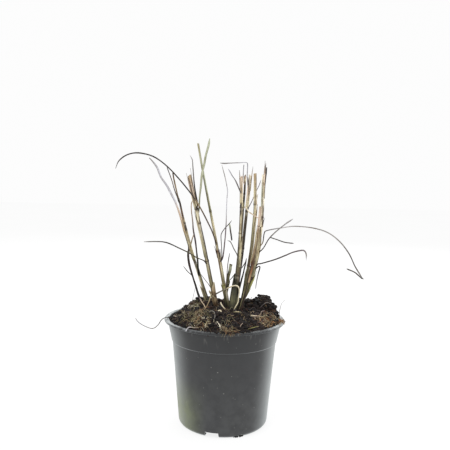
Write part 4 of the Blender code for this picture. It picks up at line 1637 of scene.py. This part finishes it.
class Culm:
    """One culm, grown along the frame's own route."""

    rings = 44
    sides = 14
    depth = 8.0
    knee_reach = 0.52
    node_steps = (-0.014, -0.008, -0.004, 0.0, 0.004, 0.008, 0.014, 0.025, 0.04)
    node_spread = 0.0065
    node_swell = 0.16
    ring_spread = 0.0045
    bloom_spread = 0.008
    bloom_drop = 0.014
    side_reach = (48.0, 94.0)
    hollow = 0.62
    pith_depth = 2.2
    slopes = {Cut.CLEAN: 0.12, Cut.SLANTED: 0.7, Cut.RAGGED: 0.5}
    tears = {Cut.CLEAN: 0.12, Cut.SLANTED: 0.4, Cut.RAGGED: 2.4}
    sheath_thickness = 0.16
    sheath_columns = 10

    def __init__(self, plan: CulmPlan, ground: Ground, seed: int) -> None:
        """Takes the culm's plan and finds where its foot meets the mix.

        Args:
            plan: What to grow.
            ground: The top of the mix.
            seed: The seed of the culm's own small accidents.
        """
        self.plan = plan
        self.random = random.Random(seed)
        self.seed = seed
        foot = (*plan.foot, ground.height(*plan.foot))
        self.foot, self.knee, self.tip = metres(foot), metres(plan.knee), metres(plan.tip)
        near = 2.0 * self.knee_reach * (1.0 - self.knee_reach)
        start = self.foot * (1.0 - self.knee_reach) ** 2
        self.handle = (self.knee - start - self.tip * self.knee_reach**2) / near
        self.flatness = self.random.uniform(0.86, 0.98)
        self.length = (self.tip - self.foot).length

    def point(self, share: float) -> Vector:
        """Gives the point of the culm's line at a share of its height, also below the ground."""
        if share < 0.0:
            down = (self.foot - self.point(0.05)).normalized()
            return self.foot + down * (-share) * self.length
        steady = self.foot * (1.0 - share) ** 2 + self.handle * 2.0 * share * (1.0 - share)
        return steady + self.tip * share**2

    def radius(self, share: float) -> float:
        """Gives the culm's radius in millimetres, swollen a little at its nodes."""
        plan = self.plan
        eased = max(0.0, min(1.0, share)) ** 0.5
        radius = 0.5 * (plan.foot_size + (plan.tip_size - plan.foot_size) * eased)
        for node in plan.nodes:
            swell = math.exp(-(((share - node) / self.node_spread) ** 2))
            neck = math.exp(-(((share - node - 0.025) / 0.012) ** 2))
            radius *= 1.0 + self.node_swell * swell - 0.05 * neck
        if plan.cut is Cut.WITHERED:
            radius *= 1.0 - 0.75 * between(share, 0.93, 1.0)
        return radius

    def shares(self) -> list[float]:
        """Gives the places of the culm's rings, closer together at its nodes."""
        below = -self.depth * MM / self.length
        even = [i / (self.rings - 1) for i in range(self.rings)]
        close = [node + step for node in self.plan.nodes for step in self.node_steps]
        found = sorted({round(s, 4) for s in even + close if 0.0 <= s <= 1.0})
        return [below, *found]

    def frames(self, shares: Sequence[float]) -> list[Matrix]:
        """Gives a frame at each share, with X to the right, bent by small accidents."""
        points = []
        for share in shares:
            run, own = share * 5.0, self.seed * 3.1
            sway = Vector((wave(run, own, 0.0), wave(run, own + 9.0, 4.0), 0.0))
            points.append(self.point(share) + sway * 0.7 * MM * between(share, 0.0, 0.3))
        return frames_along(points, Vector((1.0, 0.0, 0.0)))

    def colour(self, side: float, along: float) -> Colour:
        """Gives the culm's colour.

        Args:
            side: The share of the way round.
            along: Metres above the foot.

        Returns:
            The colour there, with its marks and the pale and dark lines of its nodes.
        """
        share = along / self.length
        angle = side * 360.0
        drift = wave(share * 14.0, side * 2.0, self.seed)
        colour = scaled(toned(self.plan.stops, share + 0.03 * drift), 1.14 + 0.14 * drift)
        for mark in self.plan.marks:
            ragged = 0.012 * wave(side * 6.0, share * 30.0, self.seed + 2.0)
            soft = 0.35 * min(0.04, mark.end - mark.start)
            depth = between(share + ragged, mark.start - soft, mark.start + soft)
            depth *= 1.0 - between(share + ragged, mark.end - soft, mark.end + soft)
            if mark.side is not None:
                off = abs((angle - mark.side.value + 180.0) % 360.0 - 180.0)
                depth *= 1.0 - between(off, *self.side_reach)
            colour = mixed(colour, mark.tone.value, depth * mark.strength)
        for node in self.plan.nodes:
            ring = math.exp(-(((share - node) / self.ring_spread) ** 2))
            bloom = math.exp(-(((share - node + self.bloom_drop) / self.bloom_spread) ** 2))
            colour = mixed(colour, Tone.CREAM.value, 0.2 * bloom)
            colour = mixed(colour, Tone.UMBER.value, 0.75 * ring)
        return colour

    def stalk(self) -> BMesh:
        """Grows the culm itself and cuts its top."""
        shares = self.shares()
        stations = [
            Station(place, Round(self.radius(share), self.flatness), share * self.length)
            for place, share in zip(self.frames(shares), shares)
        ]
        sweep = Sweep().tube(stations, self.sides)
        self.cut_top(sweep, stations[-1])
        return sweep.paint(self.colour).shape

    def cut_top(self, sweep: Sweep, last: Station) -> None:
        """Slants or tears the top ring and sinks its pith.

        Args:
            sweep: The culm's sweep, whose cap is the cut.
            last: The top station.
        """
        if self.plan.cut is Cut.WITHERED:
            return
        rind = self.radius(1.0) * MM * (1.0 - self.hollow)
        upward = last.place.to_3x3().col[2]
        middle = last.place.translation
        lean = Vector((self.random.uniform(-1.0, 1.0), self.random.uniform(-1.0, 0.2), 0.0))
        slope, tear = self.slopes[self.plan.cut], self.tears[self.plan.cut] * MM
        for vert in sweep.cap.verts:
            rise = slope * lean.normalized().dot(vert.co - middle)
            vert.co += upward * (rise - tear * self.random.random())
        bmesh.ops.inset_individual(sweep.shape, faces=[sweep.cap], thickness=rind)
        sunk = bmesh.ops.extrude_face_region(sweep.shape, geom=[sweep.cap])["geom"]
        floor = only(sunk, BMVert)
        bmesh.ops.translate(sweep.shape, verts=floor, vec=-upward * self.pith_depth * MM)
        bmesh.ops.recalc_face_normals(sweep.shape, faces=sweep.shape.faces)

    def sheath(self, plan: Sheath) -> BMesh:
        """Wraps one torn sheath round the culm, ending in a torn point that stands off it.

        Args:
            plan: The sheath.

        Returns:
            The sheath's shape.
        """
        steps = max(9, round((plan.end - plan.start) * 60))
        shares = [plan.start + (plan.end - plan.start) * i / steps for i in range(steps + 1)]
        turn = plan.side.value + self.random.uniform(-25.0, 25.0)
        twist = self.random.uniform(-30.0, 30.0)
        stations = []
        for index, (place, share) in enumerate(zip(self.frames(shares), shares)):
            run = index / steps
            narrowing = 1.0 - 0.86 * between(run, 0.55, 1.0) ** 1.4
            stand_off = 0.35 + 0.25 * run + plan.flare * run**3
            stand_off += plan.slack * math.sin(math.pi * (0.2 + 0.8 * run))
            ripple = 0.12 * wave(run * 9.0, self.seed, plan.start * 40.0)
            radius = self.radius(min(share, 1.0)) + stand_off + ripple
            section = Wrap(radius, plan.spread * narrowing, turn + twist * run)
            stations.append(Station(place, section, share * self.length))
        sweep = Sweep().strip(stations, self.sheath_columns, self.sheath_thickness)
        start, reach = plan.start * self.length, (plan.end - plan.start) * self.length

        def colour(side: float, along: float) -> Colour:
            """Gives the sheath's colour, darker where it is torn."""
            run = (along - start) / reach
            drift = wave(run * 8.0, side * 3.0, self.seed + 5.0)
            edge = between(abs(side - 0.5), 0.38, 0.5)
            vein = wave(side * 7.0, run * 1.5, self.seed + 11.0)
            base = scaled(toned(plan.stops, run + 0.1 * drift), 1.0 + 0.25 * drift + 0.9 * vein)
            return mixed(base, scaled(base, 0.5), 0.6 * edge)

        return sweep.paint(colour).shape

    def build(self, finish: Material) -> None:
        """Builds the culm with its sheaths as one piece."""
        heap = Heap()
        heap.add(self.stalk())
        for plan in self.plan.sheaths:
            heap.add(self.sheath(plan))
        name = self.plan.name.replace("culm", "stalk")
        add_piece(name, heap.joined(), finish, (self.plan.name,), crease=50.0)


# ---- the leaves


@dataclass(frozen=True)
class LeafPlan:
    """One dead leaf: its node's route and widths, how it is rolled, and its tones."""

    name: str
    route: tuple[Place, ...]
    foot_width: float
    tip_width: float
    stops: Stops
    curl: float = 70.0
    turn: float = 40.0
    twist: float = 60.0
    held: bool = True
    unrolled: float = 1.5


LEAVES = (
    LeafPlan("leaf_arching_left", ((-15, -8, 261), (-21, -10, 277), (-35, -18, 305), (-47, -26, 324),
        (-63, -34, 344), (-80, -42, 362), (-98, -48, 374), (-117, -52, 378), (-131, -54, 375),
        (-141, -56, 367), (-145, -58, 357)), 2.6, 1.5,
        fade("0 UMBER 0.22 BROWN 0.27 TAN 0.34 TAN 0.38 SLATE 0.8 SLATE 1 UMBER"), curl=85.0,
        twist=110.0),
    LeafPlan("leaf_low_left", ((-30, -7, 231.5), (-40, -12, 236.5), (-49, -17, 243), (-63, -26, 251),
        (-80, -38, 260), (-94, -46, 262), (-108, -54, 262)), 2.4, 1.6,
        fade("0 UMBER 0.3 OLIVE 0.6 SLATE 1 GREY")),
    LeafPlan("leaf_arching_right", ((53, 21, 256), (55, 21, 270), (60, 20, 274), (80, 12, 279),
        (98, 4, 282), (121, -6, 281), (140, -16, 276), (155, -26, 265), (167, -34, 249), (174, -40, 233),
        (181, -45, 221), (184, -47, 217)), 2.4, 2.2,
        fade("0 TAN 0.1 SLATE 0.3 PALE_GREY 0.5 GREY 0.7 GREY 0.85 SLATE 1 GREY"), curl=90.0, twist=60.0,
        unrolled=1.3),
    LeafPlan("leaf_folded_tip", ((183.5, -48, 217.4), (177, -50, 222.4), (171, -50, 227),
        (160, -52, 231)), 2.2, 1.2, fade("0 SLATE 0.7 GREY 1 SLATE"), held=False, unrolled=2.0),
    LeafPlan("leaf_low_right", ((47, 20, 224.6), (50, 13, 226.4), (57, 3, 230), (69, -4, 235),
        (81, -10, 241), (92, -16, 247), (101, -20, 250), (107, -22, 250.5), (110, -24, 246),
        (110, -26, 237)), 2.2, 1.6, fade("0 SLATE 0.4 SLATE 0.85 MAUVE 0.93 GREY 1 LILAC_GREY"),
        turn=50.0, twist=60.0, unrolled=1.6),
    LeafPlan("leaf_side_right", ((54, 19, 248), (59, 12, 259), (63, 7, 266), (72, 1, 276), (83, -6, 286),
        (92, -12, 293)), 2.2, 1.6, fade("0 UMBER 0.35 SLATE 0.6 GREY 1 LILAC_GREY"), turn=60.0),
    LeafPlan("leaf_side_fork", ((62.5, 6, 265.8), (66, 3, 264.5), (72, -1, 263), (82, -6, 260),
        (94, -12, 259)), 1.8, 1.4, fade("0 SLATE 1 SLATE"), held=False),
    LeafPlan("leaf_drooping_left", ((-37, 38, 169), (-44, 40, 188), (-48.5, 42, 201), (-53.5, 44, 216),
        (-56, 46, 231), (-55, 48, 244), (-59, 50, 257), (-64, 53, 272), (-69, 56, 289), (-77, 61, 309),
        (-84, 63, 322), (-92, 65, 336), (-101, 68, 348), (-107, 71, 362), (-114, 73, 371),
        (-120, 74, 377)), 2.8, 1.8,
        fade("0 SOOT 0.34 UMBER 0.42 OLIVE 0.5 TAN 0.6 PINK_STRAW 0.7 LILAC_GREY 0.9 LILAC_GREY 1 GREY"),
        curl=30.0, turn=80.0, twist=20.0, unrolled=2.0),
    LeafPlan("leaf_fork_outer", ((-74, 52, 318), (-76, 52, 323), (-79, 53, 331), (-83, 54, 344),
        (-88, 55, 357), (-91, 56, 364)), 2.2, 1.5, fade("0 SOOT 0.5 BROWN 1 SLATE")),
    LeafPlan("leaf_fork_inner", ((-72.5, 50, 317), (-73.5, 47, 323), (-76, 46, 333), (-79, 45, 345),
        (-81, 44, 356)), 2.4, 1.8, fade("0 SOOT 0.4 TAN 1 BROWN")),
    LeafPlan("leaf_upright_left", ((-40, 27, 212), (-41, 28, 225), (-43, 26, 240), (-45, 24, 256),
        (-48, 20, 272), (-49, 18, 284), (-51, 16, 300), (-51, 14, 311), (-48, 12, 317)), 2.4, 1.6,
        fade("0 SOOT 0.2 MOSS 0.5 MAUVE 1 PINK_STRAW")),
    LeafPlan("sheath_torn_left", ((-49, 34, 232), (-53, 33, 244), (-51, 31, 256), (-47, 28, 267)), 4.0,
        1.6, fade("0 OLIVE_TAN 0.5 STRAW 1 TAN"), curl=95.0),
    LeafPlan("leaf_beside_left_culm", ((-40, -18, 312), (-42.6, -20, 324), (-44.6, -22, 336),
        (-46, -23, 348), (-47, -25, 360), (-48, -26, 371), (-51, -27, 377)), 2.6, 1.4,
        fade("0 BROWN 0.4 SLATE 0.75 GREY 1 LILAC_GREY"), unrolled=1.15),
    LeafPlan("leaf_upright_crossing", ((-39, -9, 308), (-38.5, -8, 322), (-37, -8, 335), (-35.5, -8, 353),
        (-33, -7, 365), (-30.5, -6, 379), (-27, -5, 392), (-25.5, -4, 402)), 2.6, 2.2,
        fade("0 OLIVE 0.2 GREY_GREEN 1 GREY_GREEN"), curl=45.0),
    LeafPlan("leaf_bent_middle", ((-6, -12, 238), (-6.5, -13, 253), (-7.5, -14, 265), (-7, -15, 271),
        (-3, -18, 278), (2, -21, 284), (7, -24, 290)), 2.4, 1.6, fade("0 UMBER 0.5 SLATE 1 SLATE"),
        turn=70.0, twist=20.0, unrolled=1.3),
    LeafPlan("leaf_scrap_middle", ((4, -21, 285), (5, -20.5, 282), (6, -20, 275), (7, -20, 269),
        (8, -20, 262)), 2.2, 1.8, fade("0 GREY_GREEN 0.4 SLATE 1 SOOT"), curl=35.0, turn=80.0, twist=10.0,
        held=False, unrolled=1.3),
    LeafPlan("leaf_pale_middle", ((-4, -9, 236), (-2.5, -8, 246), (-1.5, -7, 258), (-0.5, -6, 272),
        (0, -6, 286), (0, -6, 303), (0.5, -5, 320), (1, -4, 330), (-1, -2, 341), (-4, 0, 353),
        (-8, 2, 366)), 2.0, 1.5, fade("0 MAUVE 0.3 MAUVE 0.55 LILAC_GREY 1 GREY")),
    LeafPlan("leaf_flat_top", ((30, 40, 344), (29.5, 37, 357), (29.5, 35, 368), (27.5, 33, 371.5),
        (18, 28, 371), (6, 20, 370), (-4, 14, 369), (-10.5, 10, 369)), 1.8, 2.6,
        fade("0 GREY 0.12 LILAC_GREY 0.4 LILAC_GREY 0.55 LILAC_GREY 0.9 PALE_GREY 1 GREY"), curl=80.0,
        unrolled=1.0),
    LeafPlan("leaf_pale_stalk", ((23.3, 20.5, 344), (23.3, 20.5, 352), (23.3, 20, 360),
        (23.5, 19.5, 368)), 1.8, 1.2, fade("0 PINK_STRAW 0.5 LILAC_GREY 1 LILAC_GREY")),
    LeafPlan("leaf_pale_diagonal", ((17, -3, 333.5), (11.5, -10, 344.5), (6.3, -14, 351.5),
        (1, -18, 360)), 1.9, 1.2, fade("0 GREY 1 LILAC_GREY")),
    LeafPlan("leaf_short_dark", ((0.5, -7, 195), (1.5, -9, 207), (2, -11, 218), (3, -13, 231),
        (5, -15, 244)), 2.2, 1.7, fade("0 OLIVE 0.3 MAUVE 0.75 UMBER 1 SOOT"), curl=35.0, turn=80.0,
        twist=20.0, unrolled=1.4),
    LeafPlan("leaf_scrap_left", ((-49.5, 37.5, 203), (-55.5, 30, 209.5), (-62, 24, 218.5)), 1.6, 0.9,
        fade("0 SLATE 1 LILAC_GREY"), held=False),
    LeafPlan("leaf_strand_left", ((-23.5, 8, 195), (-29, 12, 201), (-35.5, 18, 208)), 1.7, 1.0,
        fade("0 BROWN 1 SLATE")),
    LeafPlan("leaf_dark_fork", ((28, -18, 235), (27, -20, 233), (24.5, -19, 228), (21, -17, 222)), 1.8,
        1.0, fade("0 SOOT 1 GREY"), held=False),
    LeafPlan("leaf_grey_low", ((5.5, -13, 206), (9, -11, 208.5), (12, -8, 212)), 1.4, 1.2,
        fade("0 SLATE 1 MOSS"), held=False),
    LeafPlan("leaf_thin_back", ((16, -7, 241), (11, -12, 250), (6, -18, 260), (2, -20, 262)), 2.0, 1.2,
        fade("0 GREY 0.8 GREY 1 SLATE"), unrolled=1.2),
    LeafPlan("leaf_dark_right", ((18, -11, 188), (20, -12, 196), (22.5, -13, 207), (24.5, -14, 215),
        (26, -15, 223), (27.5, -16, 230), (28.5, -17, 238)), 3.4, 1.4, fade("0 SOOT 1 SOOT"), curl=35.0,
        turn=85.0, twist=20.0, unrolled=1.2),
    LeafPlan("leaf_cross_high", ((32, 33, 306), (35, 32, 312), (38, 30, 319), (43, 24, 332),
        (46, 21, 339), (48, 18, 346)), 1.9, 1.2, fade("0 MAUVE 1 MAUVE")),
    LeafPlan("leaf_cross_low", ((26, 6, 308), (31, -7, 302), (37, -9, 298), (44, -8, 293)), 2.3, 1.5,
        fade("0 UMBER 0.3 CREAM 1 PINK_STRAW")),
    LeafPlan("leaf_thin_right", ((49.4, 18, 220.8), (47.6, 20, 210), (46, 23, 198.3), (45, 26, 186)), 2.2,
        0.9, fade("0 SOOT 0.25 SLATE 0.6 LILAC_GREY 1 LILAC_GREY")),
    LeafPlan("leaf_over_rim", ((-74, -15, 148.5), (-78, -16, 151.5), (-84, -17, 151.5), (-89, -18, 148),
        (-93, -20, 142), (-100, -22, 137.5), (-110, -24, 141), (-119, -26, 147), (-123, -28, 153)), 1.8,
        1.1, fade("0 UMBER 0.25 SLATE 0.5 GREY 1 LILAC_GREY"), held=False),
)


class Leaf:
    """One dead leaf blade, swept along its node's route."""

    per_point = 5
    columns = 6
    thickness = 0.16
    hold_reach = 15.0
    hold_drop = 7.0
    hold_steps = 200
    wander = 22.0

    def __init__(self, plan: LeafPlan, culms: Sequence[Culm], seed: int) -> None:
        """Takes the leaf's plan and the culms that may hold it.

        Args:
            plan: What to grow.
            culms: All the culms.
            seed: The seed of the leaf's own small accidents.
        """
        self.plan = plan
        self.culms = culms
        self.seed = seed
        self.random = random.Random(seed)

    def hold(self) -> Place | None:
        """Finds the point on the nearest culm that the leaf grows from, a little below its foot.

        Returns:
            The point in millimetres from the pot's axis, or None if no culm is near.
        """
        foot = metres(self.plan.route[0])
        best, held_by, held_at = self.hold_reach * MM, None, 0.0
        for culm in self.culms:
            for step in range(self.hold_steps + 1):
                share = step / self.hold_steps
                gap = (culm.point(share) - foot).length
                if gap < best:
                    best, held_by, held_at = gap, culm, share
        if held_by is None:
            return None
        share = max(0.0, held_at - self.hold_drop * MM / held_by.length)
        middle = held_by.point(share)
        outward = foot - held_by.point(held_at)
        outward -= Vector((0.0, 0.0, outward.z))
        reach = 0.75 * held_by.radius(share) * MM
        return tuple((middle + outward.normalized() * reach - AXIS) / MM)

    def route(self) -> list[Vector]:
        """Gives the leaf's smooth route in metres, from its culm on."""
        route = list(self.plan.route)
        held = self.hold() if self.plan.held else None
        if held is not None:
            route.insert(0, held)
        return smooth_route(route, self.per_point)

    def build(self, finish: Material) -> None:
        """Builds the leaf as one piece."""
        plan = self.plan
        points = self.route()
        lengths = lengths_along(points)
        whole = lengths[-1]
        run = points[-1] - points[0]
        level = Vector((run.x, run.y, 0.0))
        side = level.cross(Vector((0.0, 0.0, 1.0))) if level.length > 0.004 else Vector((0, 1, 0))
        side = side.normalized() + Vector((0.05, 0.02, 0.0))
        stations = []
        for place, length in zip(frames_along(points, side), lengths):
            share = length / whole
            width = plan.foot_width + (plan.tip_width - plan.foot_width) * share
            width *= plan.unrolled * (1.0 - 0.55 * between(share, 0.93, 1.0))
            width *= 1.0 + 0.1 * wave(length * 90.0, self.seed, 0.0)
            curl = plan.curl * (1.0 + 0.35 * wave(length * 60.0, self.seed, 7.0))
            turn = plan.turn + plan.twist * (share - 0.5)
            turn += self.wander * wave(length * 35.0, self.seed, 3.0)
            rolled = place @ Matrix.Rotation(math.radians(turn), 4, "Z")
            stations.append(Station(rolled, Blade(width, curl), length))
        sweep = Sweep().strip(stations, self.columns, self.thickness)

        def colour(across: float, along: float) -> Colour:
            """Gives the leaf's colour, paler along its midrib and burnt at its edges."""
            share = along / whole
            drift = wave(along * 60.0, across * 2.0, self.seed)
            base = scaled(toned(plan.stops, share + 0.05 * drift), 1.0 + 0.22 * drift)
            rib = math.exp(-(((across - 0.5) / 0.1) ** 2))
            edge = between(abs(across - 0.5), 0.36, 0.5)
            base = mixed(base, scaled(base, 1.5), 0.5 * rib)
            return mixed(base, scaled(base, 0.55), 0.5 * edge)

        name = "blade_" + plan.name.removeprefix("leaf_")
        add_piece(name, sweep.paint(colour).shape, finish, (plan.name,), crease=70.0)


class GrassClump:
    """All the culms and leaves of the plant."""

    first_leaf_seed = 100

    def __init__(self, ground: Ground) -> None:
        """Takes the ground that the culms stand in."""
        self.culms = [Culm(plan, ground, seed) for seed, plan in enumerate(CULMS, 1)]
        self.leaves = [
            Leaf(plan, self.culms, seed) for seed, plan in enumerate(LEAVES, self.first_leaf_seed)
        ]

    def build(self) -> None:
        """Builds and dresses every culm and leaf."""
        culm = GrassFinish("dry_culm_skin", 0.5, 2400.0, 0.28, 0.42, 0.1, banding=0.62).material()
        leaf = GrassFinish("dead_leaf_skin", 0.68, 3200.0, 0.3, 0.4, 0.06).material()
        for stalk in self.culms:
            stalk.build(culm)
        for blade in self.leaves:
            blade.build(leaf)


# ---- the studio


@dataclass(frozen=True)
class Softbox:
    """A square soft light: its place, its size in metres, its power in watts and its aim."""

    name: str
    place: Place
    size: float
    power: float
    target: Place = (0.0, 0.0, 150.0)


@dataclass(frozen=True)
class Studio:
    """A pale floor under soft white light, and the camera."""

    floor_size: float = 14.0
    sky: float = 0.98
    camera_place: Place = (-2.0, -765.0, 342.0)
    camera_pitch: float = 4.5
    camera_roll: float = 1.12
    lens: float = 43.5
    sensor: float = 36.0
    farthest: float = 50.0
    lights: tuple[Softbox, ...] = (
        Softbox("key_light", (-900.0, -900.0, 1500.0), 1.2, 16.0),
        Softbox("fill_light", (1300.0, -300.0, 900.0), 1.2, 10.0),
        Softbox("back_light", (200.0, 1500.0, 1400.0), 1.6, 20.0),
    )

    def add_floor(self) -> None:
        """Lays the floor."""
        shape = bmesh.new()
        bmesh.ops.create_grid(shape, x_segments=4, y_segments=4, size=self.floor_size / 2.0)
        mesh = mesh_of("studio_floor", shape)
        mesh.materials.append(FloorFinish("floor_paper").material())
        floor = linked("studio_floor", mesh)

    def add_world(self) -> None:
        """Lights the room evenly from all round."""
        world = bpy.data.worlds.new("white_room")
        world.use_nodes = True
        background = world.node_tree.nodes["Background"]
        background.inputs["Color"].default_value = grey(1.0)
        background.inputs["Strength"].default_value = self.sky
        bpy.context.scene.world = world

    def add_lights(self) -> None:
        """Sets up the softboxes."""
        for box in self.lights:
            data = bpy.data.lights.new(box.name, "AREA")
            data.shape = "SQUARE"
            data.size = box.size
            data.energy = box.power
            light = linked(box.name, data)
            light.location = metres(box.place)
            aim = metres(box.target) - metres(box.place)
            light.rotation_euler = aim.to_track_quat("-Z", "Y").to_euler()

    def add_camera(self) -> None:
        """Sets up the camera in front of the pot, looking slightly down."""
        data = bpy.data.cameras.new("camera")
        data.lens = self.lens
        data.sensor_width = self.sensor
        data.clip_end = self.farthest
        camera = linked("camera", data)
        pitch = Matrix.Rotation(math.radians(90.0 - self.camera_pitch), 4, "X")
        roll = Matrix.Rotation(math.radians(self.camera_roll), 4, "Z")
        camera.matrix_world = Matrix.Translation(metres(self.camera_place)) @ pitch @ roll
        bpy.context.scene.camera = camera

    def build(self) -> None:
        """Builds the studio."""
        self.add_floor()
        self.add_world()
        self.add_lights()
        self.add_camera()
        bpy.context.scene.view_settings.view_transform = "Standard"


def main() -> None:
    """Builds the studio and the object in order."""
    logging.basicConfig(level=logging.INFO, format="%(name)s: %(message)s")
    Studio().build()
    ground = Ground()
    pot = NurseryPot.from_frame()
    pot.build()
    PottingMix(pot, ground).build()
    GrassClump(ground).build()


if __name__ == "__main__":
    main()
